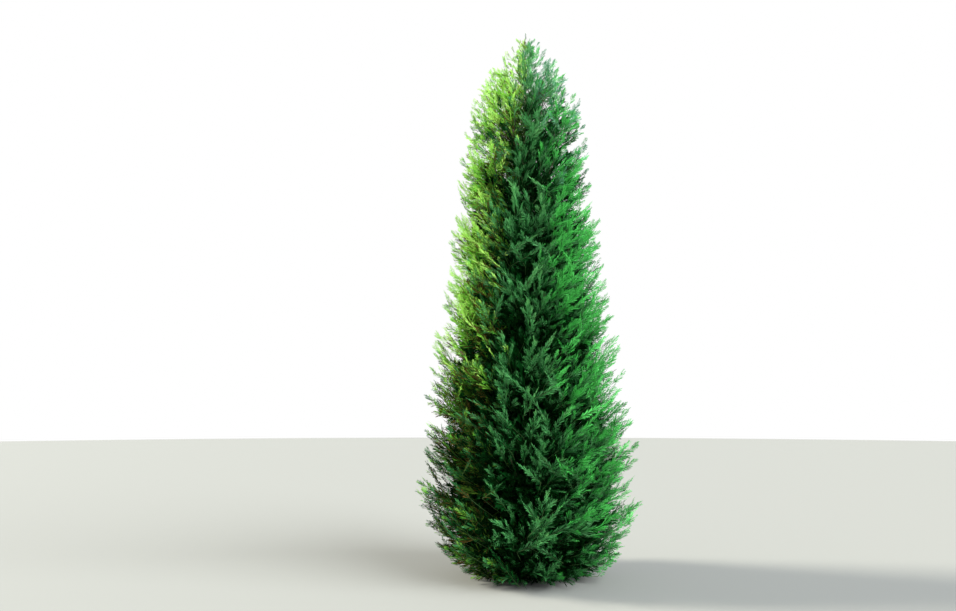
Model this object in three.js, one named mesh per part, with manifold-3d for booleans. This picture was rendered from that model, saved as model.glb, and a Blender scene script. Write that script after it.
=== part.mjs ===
// A young leyland cypress, whole, as a scene graph of closed solids.
// Millimetres, +Z up. The origin is the middle of the flat cut under the trunk, at ground level.
// The side that the viewer faces is -Y.
//
// The tree is a straight leader with boughs that sweep out and up from it. Every bough follows one
// family of curves: a bough that leaves the leader at height "level" passes, at a distance "out" from
// the leader, through height = level + out * rise(level) + BOUGH_UPTURN * out^2 + wave(bearing, out).
// Level, bearing and out are therefore coordinates for the whole crown, and each mass of foliage is
// one block of level and bearing. The leader's slow sway is added last, to every point alike.

import * as THREE from "three";
import { mergeVertices } from "three/addons/utils/BufferGeometryUtils.js";
import Module from "manifold-3d";

const wasm = await Module();
wasm.setup();

// Crown
const TREE_HEIGHT = 6000;
const LOWEST_FOLIAGE = 45; // above the ground
// Height above the ground, and how far out the tips of the foliage reach there.
const CROWN_PROFILE = [
  [0, 700],
  [300, 950],
  [700, 1140],
  [1400, 1115],
  [3100, 860],
  [4700, 690],
  [5200, 580],
  [5600, 350],
  [TREE_HEIGHT, 40],
];
const STRAY = 1.05; // the furthest that a single tip may pass the profile

// Leader
const TRUNK_RADIUS = 66; // just above the root flare
const TRUNK_TOP = 5330; // where the leading shoot takes over
const TRUNK_TOP_RADIUS = 7;
const TRUNK_TAPER_POWER = 0.9;
const FLARE_SHARE = 0.55; // how much wider the foot is than the trunk above it
const FLARE_HEIGHT = 85;
const FLARE_LOBES = 5;
const FLARE_LOBE_SHARE = 0.13;
const TRUNK_SIDES = 15;
const TRUNK_RINGS = 15;
const TRUNK_CROWDING = 1.9; // the rings of the trunk crowd together towards its foot
const SWAY_X = -28; // the belly of the leader's slow curve
const SWAY_Y = 24;
const LEAN_X = 22; // how far the tip stands off to the side

// Boughs
const BOUGH_RISE = 0.22; // slope of a bough that leaves the leader at the ground
const BOUGH_RISE_GAIN = 0.00028; // added for each millimetre up the leader
const BOUGH_UPTURN = 0.00012;
// Waves round the tree, so that no tier of masses lies level: how many, how high, and where they start
const WAVES = [
  { count: 3, height: 100, start: 0.4 },
  { count: 5, height: 60, start: 1.3 },
];
const WAVE_FULL_OUT = 500; // the waves grow to their full height this far out
const BOUGH_LOWEST = 150; // no bough leaves the leader below this level
const BOUGH_END = 0.42; // where a mass takes over from its bough, as a share of the crown's radius
const BOUGH_RADIUS = 22; // where the lowest boughs leave the leader
const BOUGH_THINNING = 3; // millimetres off that radius for each tier up
const BOUGH_TIP_RADIUS = 11;
const BOUGH_COLLAR = 1.35; // swelling where a bough leaves the leader
const BOUGH_SIDES = 6;
const BOUGH_STATIONS = [0, 0.18, 0.55, 1];
const BOUGH_ROOT = 20; // a bough's curve starts this far from the middle of the leader

// Masses of foliage, from the ground up: the level where a tier starts, how many masses go round it,
// and how many sprays a mass has. The upper masses stand on the leader itself.
const TIERS = [
  { name: "skirt", level: -270, masses: 6, sprays: 10, bough: true },
  { name: "lower", level: 400, masses: 6, sprays: 10, bough: true },
  { name: "waist", level: 1070, masses: 5, sprays: 10, bough: true },
  { name: "middle", level: 1740, masses: 5, sprays: 10, bough: false },
  { name: "shoulder", level: 2420, masses: 5, sprays: 9, bough: false },
  { name: "upper", level: 3110, masses: 4, sprays: 9, bough: false },
  { name: "crown", level: 3800, masses: 4, sprays: 8, bough: false },
  { name: "top", level: 4480, masses: 3, sprays: 8, bough: false },
];
const LEADER_LEVEL = 5080; // above this all foliage belongs to the leading shoot
const TIER_TURN = 0.382; // of a mass's width, from one tier to the next
const BEARING_JITTER = 0.1; // radians
const SPACE_MARGIN = 8; // a mass stays this far inside its own space
const STEM_HEIGHT = 0.45; // of a mass's stem, as a share of the mass's depth
const FIT = 0.3; // clearance where a limb meets what carries it

// The dense core of a mass: rings at shares of the crown's radius, each filling a share of the block
const STEM_RADIUS = 13;
const STEM_SHARE = 0.5; // of the leader's radius at most
const STEM_END = 0.2; // an upper mass keeps a bare stem as far as this share of the crown's radius
const CORE_SIDES = 6;
const CORE_RINGS = [
  { share: 0.46, fill: 0.78 },
  { share: 0.66, fill: 0.93 },
  { share: 0.77, fill: 0.74 },
];
const CORE_POINT = 0.84;
const CORE_SQUARENESS = 5; // 2 makes round sections, more makes them squarer
const CORE_UNEVEN = 0.12;
const CORE_FILL_MOST = 0.92;

// Sprays: pointed, three-sided plumes that stand out of the cores
const SPRAY_SIDES = 3;
const SPRAY_LENGTH = 640;
const SPRAY_LENGTH_SPREAD = 0.15; // a spray may be longer or shorter by this share
const SPRAY_TOP_SHARE = 0.55; // length of the highest sprays as a share of SPRAY_LENGTH
const SPRAY_WIDTH = 0.34; // as shares of its length
const SPRAY_THICKNESS = 0.24;
const SPRAY_BELLY = 0.45;
const SPRAY_REACH = 0.95; // the least share of the crown's radius that a tip reaches
const SPRAY_ROOT_SPREAD = 0.66; // how far the roots part across a mass, and the tips
const SPRAY_TIP_SPREAD = 0.92;
const SPRAY_SQUARENESS = 4;
const SPRAY_TURN = 137.5; // degrees, from one spray to the next
const SPRAY_TURN_SPREAD = 0.8; // radians
const SPRAY_TRIES = 5;
const SPRAY_STEP_IN = 0.08; // a spray that leaves its mass's space is tried again this much further in

// The leading shoot
const LEADER_CORE = [
  { z: 5150, radius: 24 },
  { z: 5330, radius: 58 },
  { z: 5600, radius: 40 },
];
const LEADER_CORE_TOP = 5880;
const LEADER_POINT_LENGTH = 380;
const LEADER_SPRAYS = 15;
const LEADER_FIRST_LEVEL = 5170; // of its side shoots
const LEADER_LAST_LEVEL = 5760;
const LEADER_LEAST_REACH = 0.78;

// What a draw of chance is for
const EDGES = 1;
const CORES = 2;
const SPRAYS = 3;
const SHOOTS = 4;

const clamp = (value, low, high) => Math.min(high, Math.max(low, value));
const mix = (from, to, share) => from + (to - from) * share;
const radians = (degrees) => (degrees * Math.PI) / 180;

// A repeatable chance, from 0 to 1, for a list of whole numbers.
function chance(...numbers) {
  let h = 0x9e3779b9;
  for (const number of numbers) {
    h = Math.imul(h ^ number, 0x85ebca6b);
    h = Math.imul(h ^ (h >>> 13), 0xc2b2ae35);
    h ^= h >>> 16;
  }
  return (h >>> 0) / 2 ** 32;
}

// How far out the tips reach at a height.
function crownRadius(z) {
  const height = clamp(z, 0, TREE_HEIGHT);
  const next = Math.max(1, CROWN_PROFILE.findIndex(([level]) => level >= height));
  const [z0, r0] = CROWN_PROFILE[next - 1];
  const [z1, r1] = CROWN_PROFILE[next];
  return mix(r0, r1, (height - z0) / (z1 - z0));
}

const trunkRadius = (z) =>
  mix(TRUNK_RADIUS, TRUNK_TOP_RADIUS, clamp(z / TRUNK_TOP, 0, 1) ** TRUNK_TAPER_POWER);

const rise = (level) => BOUGH_RISE + BOUGH_RISE_GAIN * Math.max(level, 0);

function wave(bearing, out) {
  const height = WAVES.reduce((sum, w) => sum + w.height * Math.sin(w.count * bearing + w.start), 0);
  return height * Math.min(out / WAVE_FULL_OUT, 1);
}

const heightOf = (level, bearing, out) =>
  level + out * rise(level) + BOUGH_UPTURN * out * out + wave(bearing, out);

// The level of the bough curve that passes through a point.
function levelOf(point) {
  const out = Math.hypot(point.x, point.y);
  const bent = out * BOUGH_RISE + BOUGH_UPTURN * out * out + wave(Math.atan2(point.y, point.x), out);
  const level = point.z - bent;
  return level < 0 ? level : level / (1 + out * BOUGH_RISE_GAIN);
}

const pointAt = (level, bearing, out) =>
  new THREE.Vector3(out * Math.cos(bearing), out * Math.sin(bearing), heightOf(level, bearing, out));

// The direction of a bough's curve, outward.
function headingAt(level, bearing, out) {
  const step = 1;
  return pointAt(level, bearing, out + step).sub(pointAt(level, bearing, out)).normalize();
}

// How far out the curve of a level meets a share of the crown's radius, by halving.
function outAt(level, bearing, share) {
  let near = 0;
  let far = STRAY * Math.max(...CROWN_PROFILE.map(([, radius]) => radius));
  for (let halving = 0; halving < 20; halving++) {
    const middle = (near + far) / 2;
    if (middle < share * crownRadius(heightOf(level, bearing, middle))) near = middle;
    else far = middle;
  }
  return near;
}

// The leader's slow curve, added to every point of the tree.
function sway(point) {
  const t = clamp(point.z / TREE_HEIGHT, 0, 1);
  point.x += SWAY_X * Math.sin(Math.PI * t) + LEAN_X * t;
  point.y += SWAY_Y * Math.sin(2 * Math.PI * t);
  return point;
}

function geometryOf(points, faces) {
  const geometry = new THREE.BufferGeometry().setFromPoints(points.map((p) => sway(p.clone())));
  geometry.setIndex(faces);
  return geometry;
}

// A closed body from rings of equal length, each a list of points, ended by a point or a flat cap.
function loft(rings, tip) {
  const sides = rings[0].length;
  const points = rings.flat();
  const faces = [];
  for (let r = 0; r + 1 < rings.length; r++) {
    for (let s = 0; s < sides; s++) {
      const a = r * sides + s;
      const b = r * sides + ((s + 1) % sides);
      faces.push(a, b, b + sides, a, b + sides, a + sides);
    }
  }
  for (let s = 1; s + 1 < sides; s++) faces.push(0, s + 1, s);
  const last = (rings.length - 1) * sides;
  if (tip) {
    points.push(tip);
    for (let s = 0; s < sides; s++) faces.push(last + s, last + ((s + 1) % sides), points.length - 1);
  } else {
    for (let s = 1; s + 1 < sides; s++) faces.push(last, last + s, last + s + 1);
  }
  return geometryOf(points, faces);
}

function solidOf(geometry) {
  const merged = mergeVertices(geometry, 1e-3);
  return new wasm.Manifold(
    new wasm.Mesh({
      numProp: 3,
      vertProperties: new Float32Array(merged.attributes.position.array),
      triVerts: new Uint32Array(merged.index.array),
    }),
  );
}

// The level direction to the left of an axis.
function leftOf(axis) {
  const left = new THREE.Vector3(-axis.y, axis.x, 0);
  return left.lengthSq() > 1e-9 ? left.normalize() : left.set(0, 1, 0);
}

// A ring of points round an axis. It starts level, to the left of the axis, and turns over its top.
function ringAt(centre, axis, sides, radius) {
  const side = leftOf(axis);
  const up = new THREE.Vector3().crossVectors(axis, side);
  return Array.from({ length: sides }, (_, i) => {
    const angle = (2 * Math.PI * i) / sides;
    return centre
      .clone()
      .addScaledVector(side, radius * Math.cos(angle))
      .addScaledVector(up, radius * Math.sin(angle));
  });
}

// The trunk: its root flare spreads in lobes that fade with height.
function trunkGeometry(extra) {
  const rings = Array.from({ length: TRUNK_RINGS }, (_, r) => {
    const z = TRUNK_TOP * (r / (TRUNK_RINGS - 1)) ** TRUNK_CROWDING;
    const flare = Math.exp(-z / FLARE_HEIGHT);
    return Array.from({ length: TRUNK_SIDES }, (_, s) => {
      const angle = (2 * Math.PI * s) / TRUNK_SIDES;
      const lobe = 1 + FLARE_LOBE_SHARE * flare * Math.cos(FLARE_LOBES * angle);
      const radius = trunkRadius(z) * (1 + FLARE_SHARE * flare) * lobe + extra;
      return new THREE.Vector3(radius * Math.cos(angle), radius * Math.sin(angle), z);
    });
  });
  return loft(rings);
}

// The masses of foliage, as blocks of level and bearing.
function listMasses() {
  let turn = 0;
  return TIERS.flatMap((tier, row) => {
    const top = row + 1 < TIERS.length ? TIERS[row + 1].level : LEADER_LEVEL;
    const width = (2 * Math.PI) / tier.masses;
    turn += TIER_TURN * width;
    const edges = Array.from(
      { length: tier.masses },
      (_, i) => turn + width * i + BEARING_JITTER * (2 * chance(EDGES, row, i) - 1),
    );
    edges.push(edges[0] + 2 * Math.PI);
    return edges.slice(0, -1).map((from, i) => {
      const mass = { ...tier, row, index: i, from, to: edges[i + 1], bottom: tier.level, top };
      mass.stemLevel = Math.max(mix(mass.bottom, top, STEM_HEIGHT), BOUGH_LOWEST);
      mass.stemBearing = (from + edges[i + 1]) / 2;
      mass.stemOut = tier.bough ? outAt(mass.stemLevel, mass.stemBearing, BOUGH_END) : 0;
      return mass;
    });
  });
}

// Level and bearing at shares from -1 to 1 across a mass.
const levelIn = (mass, v) => mix(mass.bottom, mass.top, (v + 1) / 2);
const bearingIn = (mass, u) => mix(mass.from, mass.to, (u + 1) / 2);

// True if a point lies inside the space of a mass, by a margin.
function inSpace(mass, point) {
  const out = Math.hypot(point.x, point.y);
  if (point.z < LOWEST_FOLIAGE || out > STRAY * crownRadius(point.z)) return false;
  const slant = SPACE_MARGIN * Math.hypot(1, rise(mass.top));
  const level = levelOf(point);
  if (level < mass.bottom + slant || level > mass.top - slant) return false;
  const half = (mass.to - mass.from) / 2;
  if (half >= Math.PI) return true;
  const off = Math.atan2(point.y, point.x) - mass.from - half;
  const aside = Math.abs(Math.atan2(Math.sin(off), Math.cos(off)));
  return aside < half && out * Math.sin(half - aside) > SPACE_MARGIN;
}

// Where a turn meets a rounded square of half width 1.
function onSquare(turn, squareness) {
  const across = Math.cos(turn);
  const up = Math.sin(turn);
  const size = (Math.abs(across) ** squareness + Math.abs(up) ** squareness) ** (-1 / squareness);
  return [across * size, up * size];
}

// A section of a mass's core: a squarish ring of points across its block.
function coreRing(mass, number, { share, fill }) {
  return Array.from({ length: CORE_SIDES }, (_, i) => {
    const turn = (2 * Math.PI * (i + 0.5 * number)) / CORE_SIDES;
    const uneven = 1 + CORE_UNEVEN * (chance(CORES, mass.row, mass.index, number, i) - 0.5);
    const [u, v] = onSquare(turn, CORE_SQUARENESS).map((side) =>
      clamp(side * fill * uneven, -CORE_FILL_MOST, CORE_FILL_MOST),
    );
    const level = levelIn(mass, v);
    const bearing = bearingIn(mass, u);
    const point = pointAt(level, bearing, outAt(level, bearing, share));
    point.z = Math.max(point.z, LOWEST_FOLIAGE);
    return point;
  });
}

// The core of a mass. It starts as a stem, at the tip of its bough or in the leader.
function coreGeometry(mass) {
  const { stemLevel, stemBearing, stemOut } = mass;
  const radius = mass.bough ? STEM_RADIUS : Math.min(STEM_RADIUS, STEM_SHARE * trunkRadius(stemLevel));
  const stem = (out) =>
    ringAt(
      pointAt(stemLevel, stemBearing, out),
      headingAt(stemLevel, stemBearing, out),
      CORE_SIDES,
      radius,
    );
  const stems = [stem(mass.bough ? stemOut + FIT : 0)];
  if (!mass.bough) stems.push(stem(outAt(stemLevel, stemBearing, STEM_END)));
  const sections = CORE_RINGS.map((ring, number) => coreRing(mass, number, ring));
  const level = levelIn(mass, 0);
  const tip = pointAt(level, stemBearing, outAt(level, stemBearing, CORE_POINT));
  return loft([...stems, ...sections], tip);
}

// A spray between two points: its root, its tip and the corners of its belly, turned about its axis.
function sprayPoints(root, tip, turn) {
  const along = tip.clone().sub(root);
  const length = along.length();
  const axis = along.clone().normalize();
  const flat = leftOf(axis).applyAxisAngle(axis, turn);
  const thick = new THREE.Vector3().crossVectors(axis, flat);
  const belly = Array.from({ length: SPRAY_SIDES }, (_, i) => {
    const angle = (2 * Math.PI * (i + 0.75)) / SPRAY_SIDES;
    return root
      .clone()
      .addScaledVector(along, SPRAY_BELLY)
      .addScaledVector(flat, (Math.cos(angle) * SPRAY_WIDTH * length) / 2)
      .addScaledVector(thick, (Math.sin(angle) * SPRAY_THICKNESS * length) / 2);
  });
  return [root, tip, ...belly];
}

function sprayGeometry(points) {
  const faces = Array.from({ length: SPRAY_SIDES }, (_, i) => {
    const corner = 2 + i;
    const next = 2 + ((i + 1) % SPRAY_SIDES);
    return [0, next, corner, 1, corner, next];
  });
  return geometryOf(points, faces.flat());
}

// One spray of a mass: its root in the core and its tip on the crown's surface. The sprays of a mass
// part in a squarish spiral, and each attempt lies further in.
function sprayOf(mass, number, attempt) {
  const draw = (n) => chance(SPRAYS, mass.row, mass.index, number, attempt, n);
  const turn = radians(SPRAY_TURN) * number + SPRAY_TURN_SPREAD * draw(0) + mass.index;
  const away = Math.sqrt((number + 0.5) / mass.sprays) * (1 - SPRAY_STEP_IN * attempt);
  const [u, v] = onSquare(turn, SPRAY_SQUARENESS).map((side) => side * away);
  const tipLevel = levelIn(mass, SPRAY_TIP_SPREAD * v);
  const rootLevel = levelIn(mass, SPRAY_ROOT_SPREAD * v);
  const tipBearing = bearingIn(mass, SPRAY_TIP_SPREAD * u);
  const tipOut = outAt(tipLevel, tipBearing, mix(SPRAY_REACH, STRAY, draw(1)));
  const size = mix(1 - SPRAY_LENGTH_SPREAD, 1 + SPRAY_LENGTH_SPREAD, draw(2));
  const length = SPRAY_LENGTH * mix(1, SPRAY_TOP_SHARE, mass.row / TIERS.length) * size;
  const rootOut = tipOut - length / Math.hypot(1, rise(tipLevel) + BOUGH_UPTURN * tipOut);
  const root = pointAt(rootLevel, bearingIn(mass, SPRAY_ROOT_SPREAD * u), rootOut);
  const tip = pointAt(tipLevel, tipBearing, tipOut);
  return sprayPoints(root, tip, Math.PI * draw(3));
}

// The sprays of a mass that keep to its space. One that still leaves it after some tries is skipped.
// No spray comes near a bough or the leader, because all of them lie outside the boughs' reach.
function listSprays(mass) {
  const sprays = [];
  for (let number = 0; number < mass.sprays; number++) {
    for (let attempt = 0; attempt < SPRAY_TRIES; attempt++) {
      const [root, ...corners] = sprayOf(mass, number, attempt);
      if (corners.every((corner) => inSpace(mass, corner))) {
        sprays.push([root, ...corners]);
        break;
      }
    }
  }
  return sprays;
}

// The leading shoot: a slim core round the leader's tip, side shoots in a spiral, and its own point.
function leaderSolid() {
  const onAxis = (z) => new THREE.Vector3(0, 0, z);
  const upward = onAxis(1);
  const rings = LEADER_CORE.map(({ z, radius }) => ringAt(onAxis(z), upward, CORE_SIDES, radius));
  const point = sprayPoints(onAxis(TREE_HEIGHT - LEADER_POINT_LENGTH), onAxis(TREE_HEIGHT), 0);
  const parts = [solidOf(loft(rings, onAxis(LEADER_CORE_TOP))), solidOf(sprayGeometry(point))];
  const space = { from: -Math.PI, to: Math.PI, bottom: LEADER_LEVEL, top: TREE_HEIGHT };
  for (let number = 0; number < LEADER_SPRAYS; number++) {
    const draw = (n) => chance(SHOOTS, number, n);
    const level = mix(LEADER_FIRST_LEVEL, LEADER_LAST_LEVEL, number / (LEADER_SPRAYS - 1));
    const bearing = radians(SPRAY_TURN) * number + SPRAY_TURN_SPREAD * draw(0);
    const tip = pointAt(level, bearing, outAt(level, bearing, mix(LEADER_LEAST_REACH, 1, draw(1))));
    const [root, ...corners] = sprayPoints(onAxis(level), tip, Math.PI * draw(2));
    if (corners.every((corner) => inSpace(space, corner))) {
      parts.push(solidOf(sprayGeometry([root, ...corners])));
    }
  }
  return wasm.Manifold.union(parts);
}

// A limb that tapers along its bough's curve, with a collar where it leaves the leader.
function boughGeometry(mass) {
  const { stemLevel, stemBearing, stemOut } = mass;
  const rings = BOUGH_STATIONS.map((along, i) => {
    const out = mix(BOUGH_ROOT, stemOut, along);
    const radius = mix(BOUGH_RADIUS - BOUGH_THINNING * mass.row, BOUGH_TIP_RADIUS, along);
    const collar = i === 0 ? BOUGH_COLLAR : 1;
    const heading = headingAt(stemLevel, stemBearing, out);
    return ringAt(pointAt(stemLevel, stemBearing, out), heading, BOUGH_SIDES, radius * collar);
  });
  return loft(rings);
}

// The largest body of a solid, so that no loose scrap stays in a node.
function largestOf(solid) {
  return solid.decompose().reduce((best, body) => (body.volume() > best.volume() ? body : best));
}

const bark = new THREE.MeshStandardMaterial({ color: 0x5b4636, roughness: 0.9, metalness: 0 });
const foliage = new THREE.MeshStandardMaterial({ color: 0x2c8a45, roughness: 0.7, metalness: 0 });

const tree = new THREE.Group();

function addNode(name, solid, material) {
  const mesh = solid.getMesh();
  const geometry = new THREE.BufferGeometry();
  geometry.setAttribute("position", new THREE.BufferAttribute(new Float32Array(mesh.vertProperties), 3));
  geometry.setIndex(new THREE.BufferAttribute(new Uint32Array(mesh.triVerts), 1));
  const node = new THREE.Mesh(geometry, material);
  node.name = name;
  tree.add(node);
}

const trunkRoom = solidOf(trunkGeometry(FIT));
addNode("trunk", solidOf(trunkGeometry(0)), bark);

for (const mass of listMasses()) {
  const label = `${mass.name}_${mass.index + 1}`;
  if (mass.bough) {
    addNode(`bough_${label}`, largestOf(solidOf(boughGeometry(mass)).subtract(trunkRoom)), bark);
  }
  const parts = [solidOf(coreGeometry(mass))];
  for (const points of listSprays(mass)) parts.push(solidOf(sprayGeometry(points)));
  const fused = wasm.Manifold.union(parts);
  addNode(`foliage_${label}`, largestOf(mass.bough ? fused : fused.subtract(trunkRoom)), foliage);
}
addNode("foliage_leader", largestOf(leaderSolid().subtract(trunkRoom)), foliage);

export default tree;
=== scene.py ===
"""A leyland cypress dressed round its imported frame: bark, twigs and feathery foliage."""

import math

import bpy
import numpy as np
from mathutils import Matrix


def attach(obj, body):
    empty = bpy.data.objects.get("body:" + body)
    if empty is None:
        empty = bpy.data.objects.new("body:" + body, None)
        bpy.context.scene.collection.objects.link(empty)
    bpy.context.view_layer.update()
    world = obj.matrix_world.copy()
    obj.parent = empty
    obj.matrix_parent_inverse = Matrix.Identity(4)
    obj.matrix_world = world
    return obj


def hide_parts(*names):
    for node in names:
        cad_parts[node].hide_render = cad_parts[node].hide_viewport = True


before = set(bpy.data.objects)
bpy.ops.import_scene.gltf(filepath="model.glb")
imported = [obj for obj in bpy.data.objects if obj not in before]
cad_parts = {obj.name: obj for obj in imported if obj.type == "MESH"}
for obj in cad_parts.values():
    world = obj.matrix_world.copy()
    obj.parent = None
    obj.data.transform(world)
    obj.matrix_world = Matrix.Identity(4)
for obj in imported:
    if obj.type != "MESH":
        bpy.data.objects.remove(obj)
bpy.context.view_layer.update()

bl_info = {
    "name": "Leyland Cypress",
    "version": (1, 0, 0),
    "blender": (4, 5, 0),
    "location": "3D View > Sidebar > Cypress",
    "description": "Makes the bark, twigs and foliage of a leyland cypress round its packed frame",
    "category": "Object",
}

# The tree's rule, in millimetres. It is the frame's own: boughs sweep up along a family of curves,
# each named by the level at which it leaves the axis, its bearing round the axis and the distance out.
MM, FULL_TURN = 0.001, 2.0 * math.pi
TREE_HEIGHT = 6000.0
LOWEST_FOLIAGE = 45.0
CROWN_HEIGHTS = np.array([0, 300, 700, 1400, 3100, 4700, 5200, 5600, 6000], float)
CROWN_RADII = np.array([700, 950, 1140, 1115, 860, 690, 580, 350, 40], float)
STRAY = 1.05
TRUNK_RADIUS, TRUNK_TOP, TRUNK_TOP_RADIUS, TRUNK_TAPER_POWER = 66.0, 5330.0, 7.0, 0.9
FLARE_SHARE, FLARE_HEIGHT, FLARE_LOBES, FLARE_LOBE_SHARE = 0.55, 85.0, 5, 0.13
SWAY_X, SWAY_Y, LEAN_X = -28.0, 24.0, 22.0
BOUGH_RISE, BOUGH_RISE_GAIN, BOUGH_UPTURN = 0.22, 0.00028, 0.00012
WAVES = ((3, 100.0, 0.4), (5, 60.0, 1.3))
WAVE_FULL_OUT = 500.0
BOUGH_LOWEST, BOUGH_END, BOUGH_ROOT = 150.0, 0.42, 20.0
BOUGH_RADIUS, BOUGH_THINNING, BOUGH_TIP_RADIUS, BOUGH_COLLAR = 22.0, 3.0, 11.0, 1.35
# Each tier of masses: its name, lowest level, masses, sprays in each and whether they hang on boughs.
TIERS = (
    ("skirt", -270.0, 6, 10, True),
    ("lower", 400.0, 6, 10, True),
    ("waist", 1070.0, 5, 10, True),
    ("middle", 1740.0, 5, 10, False),
    ("shoulder", 2420.0, 5, 9, False),
    ("upper", 3110.0, 4, 9, False),
    ("crown", 3800.0, 4, 8, False),
    ("top", 4480.0, 3, 8, False),
)
LEADER_LEVEL = 5080.0
TIER_TURN, BEARING_JITTER, SPACE_MARGIN, STEM_HEIGHT = 0.382, 0.1, 8.0, 0.45
STEM_RADIUS, STEM_SHARE = 13.0, 0.5
SPRAY_LENGTH, SPRAY_LENGTH_SPREAD, SPRAY_TOP_SHARE = 640.0, 0.15, 0.55
SPRAY_WIDTH, SPRAY_THICKNESS, SPRAY_BELLY, SPRAY_REACH = 0.34, 0.24, 0.45, 0.95
SPRAY_ROOT_SPREAD, SPRAY_TIP_SPREAD, SPRAY_SQUARENESS = 0.66, 0.92, 4
SPRAY_TURN, SPRAY_TURN_SPREAD, SPRAY_TRIES, SPRAY_STEP_IN = math.radians(137.5), 0.8, 5, 0.08
LEADER_POINT_LENGTH, LEADER_SPRAYS = 380.0, 15
LEADER_FIRST_LEVEL, LEADER_LAST_LEVEL, LEADER_LEAST_REACH = 5170.0, 5760.0, 0.78
# Numbers that keep the draws for different things apart.
EDGES, SPRAYS, SHOOTS, FILLERS, SLENDER = 1, 3, 4, 5, 6

# What the scene adds, in millimetres, degrees and shares. A pair holds the two ends of a range.
# Shares of the added branches, the plumes and the inner plumes that each tier keeps, and of the branches
# that turn towards the middle of the front or back.
BRANCHES_KEPT = (1.0, 1.0, 1.0, 1.0, 1.0, 1.0, 0.85, 0.65)
PLUMES_KEPT = (1.0, 1.0, 1.0, 1.0, 1.0, 0.88, 0.72, 0.56)
INNER_KEPT = (1.0, 1.0, 1.0, 1.0, 0.9, 0.5, 0.10, 0.0)
LEADER_PLUMES_KEPT, MOST_TURNED = 0.52, 0.75

# Filling branches, slender branches and the leader's looser shoots.
FILLER_TURN, FILLER_LEVELS, FILLER_HIGH_TIER = 1.7, (0.95, 1.30), 6
FILLER_REACH, FILLER_HIGH_REACH, FILLER_FOOT_REACH = (0.72, 1.03), 0.45, 0.92
FILLER_MASS_DRAW, FILLER_MASS_REACH = 77, (0.94, 1.03)
FILLER_ASIDE, FILLER_ASIDE_POWER, FILLER_ASIDE_OUT = 0.9, 0.6, 300.0
FILLER_SHIFT, FILLER_DROP, FILLER_DROP_HEIGHTS = (-150.0, 40.0), 50.0, (600.0, 2400.0)
SLENDER_REACH, SLENDER_LEAN, SLENDER_OUTWARD = (0.90, 1.01), (25.0, 65.0), 0.60
SLENDER_LENGTH, SLENDER_TOP_SHARE, SLENDER_DRAWS = (320.0, 500.0), 0.65, (0.20, 0.90)
SLENDER_FINENESS, SLENDER_MORE, SLENDER_SLANT, SLENDER_WIDTH = 0.53, 2.5, 1.2, 1.2
SLENDER_LOWEST, SLENDER_BEND, SLENDER_DROPS, SLENDER_BARE = 60.0, 0.6, (0.45, 0.22), (0.2, 0.7)
LOOSE_SHOOTS, LOOSE_LEVELS, LOOSE_TURN = 26, (4560.0, 5640.0), 1.9
LOOSE_REACH, LOOSE_DROP, LEADER_DRAW = (0.40, 0.95), (0.8, 1.3), 90
POINT_OVERLAP, POINT_GAP = 60.0, 4.0

# Plumes along a branch, and how they are kept in the crown's reach.
BRANCH_SAG = 0.24
PLUME_PLACES, PLUME_PLACE_JITTER, PLUME_END, PLUME_END_JITTER = (0.06, 0.93), 0.8, 0.72, 0.06
PLUME_TURN_JITTER, PLUME_HIGH, PLUME_LEANS, PLUME_TIP_LEAN = 0.5, (1200.0, 4000.0), (34.0, 38.0), 9.0
PLUME_LEAN_JITTER, PLUME_END_LEAN, PLUME_LIFT = 12.0, 4.0, (0.03, -0.17)
PLUME_SIZE, PLUME_SIZE_END, PLUME_SIZE_POWER, PLUME_SIZES = 0.42, 1.06, 0.65, (0.75, 1.2)
PLUME_FULLNESS, PLUME_FINENESS = (0.75, 1.25), (1.18, 0.56)
PLUME_REACH, PLUME_LOWEST, PLUME_HIGHEST, PLUME_CUTS, PLUME_CUT = 1.03, 35.0, 5995.0, 7, 0.8

# Branchlets along a plume, and the forked blade that each is made of.
LEAF_PLACES, LEAF_LAST, LEAF_LAST_ANGLE = (0.2, 0.8), 0.93, 0.1
LEAF_PLUME_SIZE, LEAF_LENGTHS = 150.0, (0.60, 1.30)
LEAF_ANGLES, LEAF_PLUME_ANGLES = (31.0, 9.0), (0.7, 1.15)
LEAF_HEIGHT, LEAF_FOOT, LEAF_FOOT_POWER, LEAF_TIP, LEAF_TIP_POWER = 1.8, 0.05, 0.4, 1.04, 0.9
LEAF_ANGLE_JITTER, LEAF_SPLAY, LEAF_LIFT, LEAF_ROLL = 12.0, 0.9, 0.05, 2.2
LEAF_END, LEAF_MARGIN, LEAF_LOWEST, LEAF_HIGHEST = 1.1, 8.0, 14.0, 5998.0
BLADE_FORK, BLADE_RAISED, BLADE_FACES_UP = 1.247, 0.35, 0.35

# Old foliage inside the crown, coloured in painted shade.
INNER_SPREAD, INNER_OUT, INNER_STRAY, INNER_LOWEST = 0.95, (0.08, 0.62), 0.35, 60.0
INNER_SIZE, INNER_REACH, INNER_BRANCHLETS = 320.0, 0.74, 11
INNER_BLADE, INNER_SPLAY, INNER_WIDTH = 0.60, 1.4, 0.22

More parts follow.
